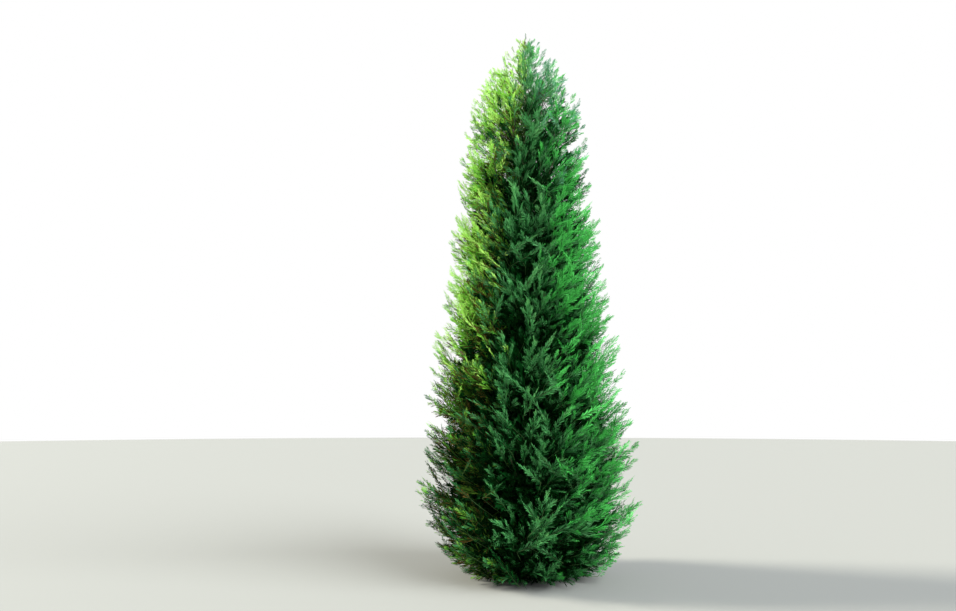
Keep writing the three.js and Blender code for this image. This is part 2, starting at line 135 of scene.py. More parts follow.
# Wood: grids, fibres and moss of the bark, and the radii and sides of stems, twigs and shoots.
TRUNK_RINGS, TRUNK_SIDES, TRUNK_RING_POWER, TRUNK_FIBRES, TRUNK_MOSS = 250, 60, 1.25, 34.0, 0.35
BOUGH_RINGS, BOUGH_SIDES, BOUGH_RELIEF, BOUGH_COLLAR_FADE = 30, 16, 2.0, 14.0
BOUGH_FIBRES, BOUGH_MOSS, LEAST_RELIEF, BARK_SHINE = 60.0, 0.2, 0.15, 0.25
DRIFTS = ((0.9, 170.0, 0.0, 0.0), (0.6, 61.0, 1.3, 0.0), (0.25, 23.0, 0.0, 4.0))
STEM_OVERLAP, STEM_END, STEM_END_RADIUS, STEM_SIDES = 12.0, 0.80, 3.0, 6
TWIG_LEAVES, TWIG_GAP, TWIG_BENDS, TWIG_RADII = 0.72, 5.0, (0.35, 0.3), (5.5, 3.8)
BRANCH_BARE, BRANCH_RADII, SHOOT_RADII, SLENDER_RADII = 0.62, (3.8, 1.5), (4.0, 1.5), (5.0, 1.2)
LEADER_ENDS, LEADER_RADII, LEADER_SIDES = (5270.0, 5870.0), (6.6, 1.6), 7
TWIG_SIDES, SHOOT_SIDES, WOOD_LOWEST = 3, 4, 6.0
STEM_POINTS, TWIG_POINTS, BARE_POINTS, LEADER_POINTS = 9, 6, 5, 9
SLENDER_CURVE_POINTS, SLENDER_LAST_POINTS = 7, 3
FLOOR_RADIUS, FLOOR_SIDES, FLOOR_GAP = 60.0, 96, 0.002

# Plain tones of the foliage and colours of the wood. Most foliage tones are painted light and shade: lit
# and shaded copies of a green from deep shade to bright emerald, a soft and a bright painted sky sheen, a
# sky-lit teal, and painted sunlight from olive to lime. Olive and olive brown are also the colours of aged
# and dead foliage.
TONES = (
    ("deep_shade", (0.002, 0.022, 0.003)),
    ("dark_fir", (0.006, 0.080, 0.014)),
    ("blue_green", (0.028, 0.145, 0.042)),
    ("sea_green", (0.080, 0.250, 0.095)),
    ("mid_green", (0.074, 0.310, 0.090)),
    ("emerald", (0.054, 0.415, 0.072)),
    ("bright_emerald", (0.112, 0.620, 0.132)),
    ("leaf_green", (0.112, 0.415, 0.050)),
    ("yellow_green", (0.290, 0.710, 0.078)),
    ("lime", (0.550, 0.920, 0.200)),
    ("olive", (0.080, 0.170, 0.020)),
    ("olive_brown", (0.120, 0.085, 0.020)),
    ("sky_lit_teal", (0.140, 0.400, 0.230)),
    ("soft_sky_sheen", (0.090, 0.348, 0.118)),
    ("bright_sky_sheen", (0.158, 0.475, 0.160)),
)
(DEEP, DARK, BLUE, SEA, MID, EMERALD, BRIGHT,
 LEAF, YELLOW, LIME, OLIVE, BROWN, SKY_LIT_TEAL, SOFT_SKY_SHEEN, BRIGHT_SKY_SHEEN) = range(len(TONES))
WOODS = (
    ("ridge", (0.235, 0.150, 0.100)),
    ("furrow", (0.040, 0.024, 0.017)),
    ("moss", (0.075, 0.095, 0.035)),
    ("twig", (0.055, 0.048, 0.026)),
    ("shoot", (0.060, 0.130, 0.040)),
)

# Where the photo's light falls. Each row of LIGHTS adds to the light on the branchlets: the amounts
# between two heights, those heights, the bearing it comes from, how far a place faces it for none and
# all of the amount, and the share of the amount for places that don't face it.
# The light and the sun's tone are painted into the foliage's colour: their steps pick lit and shaded copies
# of a green, and painted sunlight from olive to lime.
GREEN_STEPS, GREENS = (0.10, 0.25, 0.40, 0.52, 0.66, 0.84), (DEEP, DARK, BLUE, SEA, MID, EMERALD, BRIGHT)
WARM_STEPS, WARMS = (0.00, 0.13, 0.37, 0.62), (DARK, OLIVE, LEAF, YELLOW, LIME)
SUN_SIDE, OPEN_SIDE, AIRY_SIDE, OPEN_FACING, ALL_ROUND = 184.0, -37.0, -18.0, (0.42, 1.0), (-3, -2)
LIGHTS = (
    ((0.0, -0.060), (2100.0, 900.0), 0.0, ALL_ROUND, 0.0),
    ((0.0, -0.20), (1000.0, 200.0), 0.0, ALL_ROUND, 0.0),
    ((0.31, 0.53), (700.0, 2600.0), OPEN_SIDE, OPEN_FACING, -0.45),
    ((0.17, 0.46), (1700.0, 2600.0), -130.0, (0.5, 1.0), 0.0),
    ((0.0, -0.14), (3700.0, 4500.0), -25.0, (0.1, 0.9), 0.0),
)
MIDDLE_LIGHT, LOW_LEFT_LIGHT, TIP_LIGHT, OUTER_LIGHT, USUAL_SHARE = 0.535, -0.22, 0.40, 2.3, 0.88
LIGHT_DRAWS, BRIGHT_SHEEN_STEP, TOP_SHARE, NARROWEST_CROWN = (0.50, 0.46, 0.28), 0.93, 0.89, 60.0
SUN_EDGE, SUN_EDGE_HEIGHTS, SUN_EDGE_INWARD, SUN_EDGE_OUTWARD = (0.67, 0.30), (3400, 5400), 0.24, 0.20
SUN_SOFTER_BEHIND, SUN_BRANCHES, SUN_LOW, SUN_LOW_HEIGHTS = 2.6, 0.30, 0.28, (900.0, 2800.0)
WARMTH, WARM_LOW_LEFT, WARM_MIDDLE, WARM_TIP, WARM_OUTER = (0.50, 0.62), -0.24, 0.17, 0.55, 1.3
WARM_EDGE, WARM_DRAWS, STREAKS = -0.25, (0.50, 0.42, 0.34), 7.0
WARMTH_HEIGHTS, WARM_EDGE_HEIGHTS, WARM_TIP_FROM = (2200.0, 5000.0), (4600.0, 3600.0), 0.3
WARM_MIDDLE_FOOT, WARM_MIDDLE_TOP, SUN_BEHIND = (1500.0, 2200.0), (4200.0, 3400.0), (-0.1, 0.5)
TOP_HEIGHTS, LOW_LEFT_HEIGHTS, LOW_LEFT_FACING = (4200.0, 5200.0), (2400.0, 900.0), (0.2, 0.9)
AIRY, AIRY_HEIGHTS, AIRY_FACING = 0.7, (3600.0, 5000.0), (0.0, 0.9)
PALE_EDGE, PALE_BRANCH, RIM_SHARE, RIM_REACH = (-0.66, 1.24), 0.75, 0.30, 0.95
BROWN_INSIDE, BROWN_SHARE, BROWN_LAST = 0.22, 0.90, 0.7
# Aged inner foliage: near-black and dark green are painted shade, olive is aged foliage in painted sun.
OLD_SUN_OLIVE, OLD_DEEP_SHADE, OLD_LESS_SHADE_HEIGHT = 0.15, 0.75, 4300.0


def chance(*numbers):
    """Repeatable draws from 0 to 1: whole numbers stirred in by exclusive or, multiply and shift."""
    arrays = np.broadcast_arrays(*[np.asarray(n, dtype=np.int64) for n in numbers])
    low = np.uint64(0xFFFFFFFF)
    h = np.full(arrays[0].shape, 0x9E3779B9, dtype=np.uint64)
    for number in arrays:
        h = ((h ^ (number.astype(np.uint64) & low)) * np.uint64(0x85EBCA6B)) & low
        h = ((h ^ (h >> np.uint64(13))) * np.uint64(0xC2B2AE35)) & low
        h = h ^ (h >> np.uint64(16))
    return h.astype(float) / 2.0**32


def mix(start, end, share):
    """The value at a share of the way from start to end."""
    return start + (end - start) * share


def ease(low, high, value):
    """0 below low, 1 above high, and three squares less two cubes of the share between them."""
    t = np.clip((value - low) / (high - low), 0.0, 1.0)
    return t * t * (3.0 - 2.0 * t)


def unit(vectors):
    """Each vector over its length."""
    return vectors / np.maximum(np.linalg.norm(vectors, axis=-1, keepdims=True), 1e-9)


def out_of(points):
    """How far each point is from the upright axis."""
    return np.hypot(points[..., 0], points[..., 1])


def bearing_of(points):
    """Each point's bearing round the upright axis."""
    return np.arctan2(points[..., 1], points[..., 0])


def around(bearing, out, z):
    """Points at bearings: out times their cosine, out times their sine, and z."""
    return np.stack(np.broadcast_arrays(out * np.cos(bearing), out * np.sin(bearing), z), axis=-1)


def ring_angles(sides):
    """Angles spaced evenly round a ring."""
    return FULL_TURN * np.arange(sides) / sides


def left_of(axis):
    """The level direction to the left of each axis: (-y, x, 0) over its length."""
    left = np.stack([-axis[..., 1], axis[..., 0], np.zeros(axis.shape[:-1])], axis=-1)
    size = np.linalg.norm(left, axis=-1, keepdims=True)
    return np.where(size > 3e-5, left / np.maximum(size, 1e-9), np.array([0.0, 1.0, 0.0]))


def leaning(axis, side, angle):
    """The axis leant towards the side: axis times the angle's cosine plus side times its sine."""
    return axis * np.cos(angle)[..., None] + side * np.sin(angle)[..., None]


def turned(side, axis, angle):
    """side turned by angle about axis: side times its cosine plus axis cross side times its sine."""
    return leaning(side, np.cross(axis, side), angle)


def ring_round(axis, sides):
    """Directions evenly round each axis, from its left."""
    return turned(left_of(axis)[..., None, :], axis[..., None, :], ring_angles(sides))


def crown_radius(z):
    """The reach of the tips at a height: straight lines between the crown's heights and radii."""
    return np.interp(z, CROWN_HEIGHTS, CROWN_RADII)


def trunk_radius(z):
    """From the foot's radius to the top's by the 0.9th power of the share of the height."""
    return mix(TRUNK_RADIUS, TRUNK_TOP_RADIUS, np.clip(z / TRUNK_TOP, 0.0, 1.0) ** TRUNK_TAPER_POWER)


def rise(level):
    """The slope of a bough's curve where it starts."""
    return BOUGH_RISE + BOUGH_RISE_GAIN * np.maximum(level, 0.0)


def wave(bearing, out):
    """Sines of the bearing that lift and lower the curves, growing with the distance out."""
    height = sum(size * np.sin(count * bearing + start) for count, size, start in WAVES)
    return height * np.minimum(out / WAVE_FULL_OUT, 1.0)


def height_of(level, bearing, out):
    """Level, plus out times its rise, plus the upturn times out squared, plus the wave."""
    return level + out * rise(level) + BOUGH_UPTURN * out * out + wave(bearing, out)


def level_of(points):
    """The level whose curve passes through each point: height_of solved for the level."""
    out, bearing = out_of(points), bearing_of(points)
    level = points[..., 2] - (out * BOUGH_RISE + BOUGH_UPTURN * out * out + wave(bearing, out))
    return np.where(level < 0, level, level / (1.0 + out * BOUGH_RISE_GAIN))


def point_at(level, bearing, out):
    """Out times the cosine and sine of the bearing, at the curve's height."""
    return around(bearing, out, height_of(level, bearing, out))


def heading_at(level, bearing, out):
    """The curve's direction outward, over one millimetre."""
    return unit(point_at(level, bearing, out + 1.0) - point_at(level, bearing, out))


def out_at(level, bearing, share):
    """Where each curve meets a share of the crown's radius, by 20 halvings of the distance out."""
    near = np.zeros(np.broadcast(level, bearing, share).shape)
    far = np.full(near.shape, STRAY * CROWN_RADII.max())
    for _ in range(20):
        middle = (near + far) / 2.0
        inside = middle < share * crown_radius(height_of(level, bearing, middle))
        near, far = np.where(inside, middle, near), np.where(inside, far, middle)
    return near


def sway(points):
    """The leader's slow curve: half a sine across, a whole sine in depth, and a lean, by height."""
    t = np.clip(points[..., 2] / TREE_HEIGHT, 0.0, 1.0)
    moved = points.copy()
    moved[..., 0] += SWAY_X * np.sin(math.pi * t) + LEAN_X * t
    moved[..., 1] += SWAY_Y * np.sin(FULL_TURN * t)
    return moved


def on_square(turn, squareness):
    """Where each turn meets a rounded square of half width 1."""
    across, up = np.cos(turn), np.sin(turn)
    size = (np.abs(across) ** squareness + np.abs(up) ** squareness) ** (-1.0 / squareness)
    return across * size, up * size


class Masses:
    """The masses of foliage as arrays, one entry for each block of level and bearing."""

    def __init__(self):
        _names, bottoms, counts, sprays, boughs = map(np.array, zip(*TIERS))
        self.row = row = np.repeat(np.arange(len(TIERS)), counts)
        self.index = np.concatenate([np.arange(count) for count in counts])
        self.sprays, self.bough, width = sprays[row], boughs[row], FULL_TURN / counts
        self.bottom, self.top = bottoms[row], np.append(bottoms[1:], LEADER_LEVEL)[row]
        jitter = BEARING_JITTER * (2.0 * chance(EDGES, row, self.index) - 1.0)
        self.start = np.cumsum(TIER_TURN * width)[row] + width[row] * self.index + jitter
        closing = self.start[self.index == 0][row] + FULL_TURN
        self.end = np.where(self.index + 1 == counts[row], closing, np.roll(self.start, -1))
        self.stem_level = np.maximum(mix(self.bottom, self.top, STEM_HEIGHT), BOUGH_LOWEST)
        self.stem_bearing = (self.start + self.end) / 2.0
        self.bough_out = out_at(self.stem_level, self.stem_bearing, BOUGH_END)

    def level(self, mass, v):
        """The level at a share from -1 to 1 up a mass."""
        return mix(self.bottom[mass], self.top[mass], (v + 1.0) / 2.0)

    def bearing(self, mass, u):
        """The bearing at a share from -1 to 1 across a mass."""
        return mix(self.start[mass], self.end[mass], (u + 1.0) / 2.0)

    def holds(self, mass, points):
        """True where a point lies in its mass's block, by a margin from each side."""
        out = out_of(points)
        level = level_of(points)
        slant = SPACE_MARGIN * np.hypot(1.0, rise(self.top[mass]))
        half = (self.end[mass] - self.start[mass]) / 2.0
        off = bearing_of(points) - self.start[mass] - half
        aside = np.abs(np.arctan2(np.sin(off), np.cos(off)))
        return (
            (points[..., 2] >= LOWEST_FOLIAGE)
            & (out <= STRAY * crown_radius(points[..., 2]))
            & (level >= self.bottom[mass] + slant)
            & (level <= self.top[mass] - slant)
            & (aside < half)
            & (out * np.sin(half - aside) > SPACE_MARGIN)
        )


MASSES = Masses()


def belly_corners(root, tip, turn):
    """The three corners of a spray's belly: at 0.45 of its length, turned about its axis."""
    along = tip - root
    length = np.linalg.norm(along, axis=-1, keepdims=True)
    axis = along / length
    flat = turned(left_of(axis), axis, turn)
    thick = np.cross(axis, flat)
    return np.stack([
        root + along * SPRAY_BELLY + length / 2.0 * (
            flat * math.cos(angle) * SPRAY_WIDTH + thick * math.sin(angle) * SPRAY_THICKNESS)
        for angle in FULL_TURN * (np.arange(3) + 0.75) / 3.0
    ])


def frame_branches():
    """The frame's own sprays as branches: a squarish spiral in each mass, each attempt further in, and
    the first attempt kept whose tip and belly corners all stay in the mass's space."""
    mass = np.repeat(np.arange(len(MASSES.row)), MASSES.sprays)
    number = np.concatenate([np.arange(n) for n in MASSES.sprays])
    attempt = np.arange(SPRAY_TRIES)[:, None]
    row, index = MASSES.row[mass], MASSES.index[mass]
    draws = [chance(SPRAYS, row, index, number, attempt, n) for n in range(4)]
    turn = SPRAY_TURN * number + SPRAY_TURN_SPREAD * draws[0] + index
    away = np.sqrt((number + 0.5) / MASSES.sprays[mass]) * (1.0 - SPRAY_STEP_IN * attempt)
    u, v = (side * away for side in on_square(turn, SPRAY_SQUARENESS))
    root, tip = spray_ends(mass, u, v, mix(SPRAY_REACH, STRAY, draws[1]), draws[2])
    corners = belly_corners(root, tip, math.pi * draws[3])
    fits = MASSES.holds(mass, tip) & MASSES.holds(mass, corners).all(axis=0)
    first = fits.argmax(axis=0)
    kept = np.flatnonzero(fits.any(axis=0))
    return mass[kept], root[first[kept], kept], tip[first[kept], kept]


def spray_ends(mass, u, v, reach, size):
    """Root and tip of sprays. The tip lies at a share of the crown's radius, the root a length back along
    the rise, and the roots stand closer together than the tips."""
    tip_level = MASSES.level(mass, SPRAY_TIP_SPREAD * v)
    tip_bearing = MASSES.bearing(mass, SPRAY_TIP_SPREAD * u)
    tip_out = out_at(tip_level, tip_bearing, reach)
    length = SPRAY_LENGTH * mix(1.0, SPRAY_TOP_SHARE, MASSES.row[mass] / len(TIERS))
    length = length * mix(1.0 - SPRAY_LENGTH_SPREAD, 1.0 + SPRAY_LENGTH_SPREAD, size)
    root_out = tip_out - length / np.hypot(1.0, rise(tip_level) + BOUGH_UPTURN * tip_out)
    root_level = MASSES.level(mass, SPRAY_ROOT_SPREAD * v)
    root = point_at(root_level, MASSES.bearing(mass, SPRAY_ROOT_SPREAD * u), root_out)
    return root, point_at(tip_level, tip_bearing, tip_out)


def scattered(share, stream):
    """Share times as many branches in each mass as the frame has, fewer in the highest tiers: the mass,
    the number and count in it, and six draws of each."""
    counts = np.round(MASSES.sprays * share * np.array(BRANCHES_KEPT)[MASSES.row]).astype(int)
    mass = np.repeat(np.arange(len(MASSES.row)), counts)
    number = np.concatenate([np.arange(n) for n in counts])
    draws = [chance(stream, MASSES.row[mass], MASSES.index[mass], number, n) for n in range(6)]
    return mass, number, counts[mass], draws


def filling_branches(share):
    """Branches between the frame's own, by the same rule. Their tips lie deeper in the highest tiers, at
    the foot of a mass and by a draw for the mass. Each root is turned round the axis by a share of the
    branch's length over its distance out, times a power of a draw. Most turn towards the middle of the
    front or back, where x times y changes its sign, so that they cross aslant. Roots shift in height."""
    mass, number, count, draws = scattered(share, FILLERS)
    row, index = MASSES.row[mass], MASSES.index[mass]
    turn = SPRAY_TURN * number + SPRAY_TURN_SPREAD * draws[0] + index + FILLER_TURN
    away = np.sqrt((number + 0.5) / count)
    u, v = (side * away for side in on_square(turn, SPRAY_SQUARENESS))
    v = v * mix(*FILLER_LEVELS, draws[5])
    least, most = FILLER_REACH
    reach = mix(np.where(row < FILLER_HIGH_TIER, least, FILLER_HIGH_REACH), most, draws[1])
    reach = reach * mix(FILLER_FOOT_REACH, 1.0, np.clip((v + 1.0) / 2.0, 0.0, 1.0))
    reach = reach * mix(*FILLER_MASS_REACH, chance(FILLERS, row, index, FILLER_MASS_DRAW))
    root, tip = spray_ends(mass, u, v, reach, draws[2])
    toward = np.sign(root[:, 0] * root[:, 1])
    aside = toward * np.where(
        draws[3] < MOST_TURNED, draws[3] / MOST_TURNED, (MOST_TURNED - draws[3]) / (1.0 - MOST_TURNED))
    length, out = np.linalg.norm(tip - root, axis=-1), out_of(root)
    aside = FILLER_ASIDE * np.sign(aside) * np.abs(aside) ** FILLER_ASIDE_POWER * length
    height = root[:, 2] + mix(*FILLER_SHIFT, draws[4])
    height = height - FILLER_DROP * ease(*FILLER_DROP_HEIGHTS, root[:, 2])
    root = turned(root, np.array([0.0, 0.0, 1.0]), aside / np.maximum(out, FILLER_ASIDE_OUT))
    root[:, 2] = np.maximum(height, LOWEST_FOLIAGE)
    high = tip[:, 2] > LOWEST_FOLIAGE
    return mass[high], root[high], tip[high]


def slender_branches(share):
    """Long slender branches against the crown's surface. From a tip anywhere in its mass's block, each
    runs back down at a lean from upright, most towards the middle of the front or back, and inward."""
    mass, _number, _count, draws = scattered(share, SLENDER)
    level, bearing = MASSES.level(mass, 2.0 * draws[0] - 1.0), MASSES.bearing(mass, 2.0 * draws[1] - 1.0)
    tip = point_at(level, bearing, out_at(level, bearing, mix(*SLENDER_REACH, draws[2])))
    outward = around(bearing, 1.0, 0.0)
    hand = np.sign(tip[:, 0] * tip[:, 1]) * np.where(draws[3] < MOST_TURNED, -1.0, 1.0)
    lean = np.radians(mix(*SLENDER_LEAN, draws[4]))
    direction = SLENDER_OUTWARD * outward + left_of(outward) * (hand * np.sin(lean))[:, None]
    direction[:, 2] += np.cos(lean)
    length = mix(*SLENDER_LENGTH, draws[5]) * mix(1.0, SLENDER_TOP_SHARE, MASSES.row[mass] / len(TIERS))
    root = tip - unit(direction) * length[:, None]
    high = root[:, 2] > LOWEST_FOLIAGE
    return mass[high], root[high], tip[high]


def slender_paths(root, tip):
    """The axes of slender branches: a square curve from the trunk's axis to the root, with its first two
    control points lower by shares of the root's distance out, then straight on towards the tip."""
    out = out_of(root)
    ends = []
    for across, drop in zip((0.0, SLENDER_BEND), SLENDER_DROPS):
        end = root * np.array([across, across, 1.0])
        end[:, 2] = np.maximum(root[:, 2] - drop * out, SLENDER_LOWEST)
        ends.append(end[:, None])
    t = np.linspace(0.0, 1.0, SLENDER_CURVE_POINTS)[None, :, None]
    curve = ends[0] * (1 - t) ** 2 + ends[1] * 2 * t * (1 - t) + root[:, None] * t**2
    share = np.linspace(*SLENDER_BARE, SLENDER_LAST_POINTS)[:, None]
    straight = root[:, None] + (tip - root)[:, None] * share
    return np.concatenate([curve, straight], axis=1)


def leader_branches():
    """Side shoots in a spiral up the leader, looser ones between them that rise less steeply, and the
    leading point."""
    number, more = np.arange(LEADER_SPRAYS), np.arange(LOOSE_SHOOTS)
    draws = [chance(SHOOTS, number, n) for n in range(2)]
    level = np.append(mix(LEADER_FIRST_LEVEL, LEADER_LAST_LEVEL, number / (LEADER_SPRAYS - 1)),
                      mix(*LOOSE_LEVELS, more / (LOOSE_SHOOTS - 1)))
    bearing = np.append(SPRAY_TURN * number + SPRAY_TURN_SPREAD * draws[0], SPRAY_TURN * more + LOOSE_TURN)
    reach = np.append(mix(LEADER_LEAST_REACH, 1.0, draws[1]),
                      mix(*LOOSE_REACH, chance(FILLERS, LEADER_DRAW, more)))
    tip = point_at(level, bearing, out_at(level, bearing, reach))
    root = around(bearing, 0.0, level)
    drop = mix(*LOOSE_DROP, reach) * out_of(tip)
    root[LEADER_SPRAYS:, 2] = (tip[:, 2] - drop)[LEADER_SPRAYS:]
    root = np.vstack([root, [[0.0, 0.0, TREE_HEIGHT - LEADER_POINT_LENGTH - POINT_OVERLAP]]])
    tip = np.vstack([tip, [[0.0, 0.0, TREE_HEIGHT - POINT_GAP]]])
    return root, tip


def all_branches(settings):
    """Every branch of the masses with its mass: the frame's own sprays, then the filling ones."""
    own, more = frame_branches(), filling_branches(settings.filling)
    return [np.concatenate(both) for both in zip(own, more)]


def branch_point(root, tip, t):
    """Points at shares t of branches: on the straight line from root to tip, lowered by a share of its
    length times t(1 - t), so that its end turns up."""
    along = (tip - root)[:, None]
    points = root[:, None] + along * t[..., None]
    points[..., 2] -= BRANCH_SAG * np.linalg.norm(along, axis=-1) * t * (1.0 - t)
    return points


def plumes_of(root, tip, count, draws):
    """Plumes at shares t of branches: foot, direction, size, fineness and a draw of each. Plume 0 carries
    the branch on to its tip. The others follow the spiral's turn. They lean less towards the tip, and more
    and lower high up the tree. Their size is the branch's length times a power of 1.06 - t, with a draw for
    each plume and each branch. The fineness, less towards the tip, scales their branchlets."""
    branches = len(root)
    along = tip - root
    length = np.linalg.norm(along, axis=-1, keepdims=True)
    axes = np.repeat((along / length)[:, None], count, axis=1)
    k = np.arange(count)
    r = draws.random((branches, count, 5))
    t = mix(*PLUME_PLACES, (k - 1 + PLUME_PLACE_JITTER * r[..., 0]) / max(count - 1, 1))
    t[:, 0] = PLUME_END + PLUME_END_JITTER * r[:, 0, 0]
    azimuth = SPRAY_TURN * k + FULL_TURN * draws.random((branches, 1)) + PLUME_TURN_JITTER * r[..., 1]
    high = ease(*PLUME_HIGH, root[:, None, 2])
    lean = mix(mix(*PLUME_LEANS, high), PLUME_TIP_LEAN, t) + PLUME_LEAN_JITTER * (r[..., 2] - 0.5)
    lean = np.radians(lean)
    lean[:, 0] = np.radians(PLUME_END_LEAN) * r[:, 0, 2]
    side = turned(left_of(axes), axes, azimuth)
    direction = leaning(axes, side, lean)
    direction[..., 2] += mix(*PLUME_LIFT, high)
    fullness = mix(*PLUME_FULLNESS, draws.random((branches, 1)))
    size = PLUME_SIZE * length * (PLUME_SIZE_END - t) ** PLUME_SIZE_POWER
    size = size * mix(*PLUME_SIZES, r[..., 3]) * fullness
    size[:, 0] = length[:, 0] * (1.0 - t[:, 0])
    return branch_point(root, tip, t), unit(direction), size, mix(*PLUME_FINENESS, t), r[..., 4]


def keep_in(base, direction, size, most=PLUME_REACH):
    """Shortens plumes by fifths until they stay in the crown's reach, above its foot and below its top."""
    for _ in range(PLUME_CUTS):
        tip = base + direction * size[..., None]
        out, z = out_of(tip), tip[..., 2]
        leaves = (out > most * crown_radius(z)) | (z < PLUME_LOWEST) | (z > PLUME_HIGHEST)
        size = np.where(leaves, size * PLUME_CUT, size)
    return size


def branchlets_of(base, direction, size, fineness, count, blade, draws, splay=LEAF_SPLAY, slant=1.0):
    """Branchlets at shares s of plumes: start, heading, side, length, s and plume of each. They leave the
    axis left and right by turns in one plane, splayed by a draw, at an angle that falls towards the tip.
    Their length is blade times fineness times the root of 150 times the plume's size, times 1.8
    (s + 0.05)^0.4 (1.04 - s)^0.9. The axis bends up by s squared. Those outside the crown are dropped."""
    plumes = len(base)
    j = np.arange(count)
    r = draws.random((plumes, count, 5))
    s = (j + mix(*LEAF_PLACES, r[..., 0])) / count
    s[:, -1] = LEAF_LAST
    length = blade * (fineness * np.sqrt(LEAF_PLUME_SIZE * size))[:, None] * mix(*LEAF_LENGTHS, r[..., 1])
    length = length * LEAF_HEIGHT * (s + LEAF_FOOT) ** LEAF_FOOT_POWER * (LEAF_TIP - s) ** LEAF_TIP_POWER
    angle = mix(*LEAF_ANGLES, s) * mix(*LEAF_PLUME_ANGLES, draws.random((plumes, 1))) * slant
    angle = np.radians(angle + LEAF_ANGLE_JITTER * (r[..., 2] - 0.5))
    angle[:, -1] *= LEAF_LAST_ANGLE
    axes = np.repeat(direction[:, None], count, axis=1)
    plane = turned(left_of(direction), direction, FULL_TURN * draws.random(plumes))[:, None]
    hand = np.where(j % 2 == 0, 1.0, -1.0)
    side = turned(plane * hand[:, None], axes, splay * (2.0 * r[..., 3] - 1.0))
    heading = leaning(axes, side, angle)
    heading[..., 2] += LEAF_LIFT * s
    heading = unit(heading)
    start = base[:, None] + axes * (s * size[:, None])[..., None]
    start[..., 2] += LEAF_LIFT * size[:, None] * s * s
    across = unit(np.cross(np.cross(heading, side), heading))
    across = turned(across, heading, LEAF_ROLL * (r[..., 4] - 0.5))
    end = start + heading * (LEAF_END * length)[..., None]
    out, z = out_of(end), end[..., 2]
    keep = (out < STRAY * crown_radius(z) + LEAF_MARGIN) & (z > LEAF_LOWEST) & (z < LEAF_HIGHEST)
    plume = np.repeat(np.arange(plumes), count).reshape(plumes, count)
    return start[keep], heading[keep], across[keep], length[keep], s[keep], plume[keep]


def blades(start, heading, across, length, width):
    """Points and faces of branchlets, each a forked blade of two triangles on a shared midrib. Their far
    corners stand ahead, to each side by width times the length, and above. Blades face outward."""
    outward = start.copy()
    outward[:, 2] = BLADE_FACES_UP * out_of(start)
    normal = np.cross(heading, across)
    hand = np.where(np.sum(normal * outward, axis=-1, keepdims=True) < 0, -1.0, 1.0)
    length = length[:, None]
    reach = length * width
    ahead = start + heading * (length * BLADE_FORK) + normal * hand * reach * BLADE_RAISED
    aside = across * hand * reach
    points = np.stack([start, start + heading * length, ahead + aside, ahead - aside], axis=1)
    faces = np.array([[0, 1, 2], [0, 3, 1]]) + 4 * np.arange(len(start))[:, None, None]
    return points.reshape(-1, 3), faces.reshape(-1, 3)


def facing(bearing, degrees):
    """How far each bearing faces one in degrees: the cosine of the angle between them."""
    return np.cos(bearing - math.radians(degrees))


def sun_on(bearing, z, draw):
    """How far the low sun reaches a place, from 0 to 1: an ease over how far it faces the sun. Its edge
    moves with height and the branch's draw, and is softer behind. It is weaker near the foot."""
    edge = mix(*SUN_EDGE, ease(*SUN_EDGE_HEIGHTS, z))
    soft = mix(1.0, SUN_SOFTER_BEHIND, ease(*SUN_BEHIND, np.sin(bearing)))
    face = facing(bearing, SUN_SIDE) + SUN_BRANCHES * soft * (draw - 0.5)
    sun = ease(edge - SUN_EDGE_INWARD * soft, edge + SUN_EDGE_OUTWARD * soft, face)
    return sun * mix(SUN_LOW, 1.0, ease(*SUN_LOW_HEIGHTS, z))


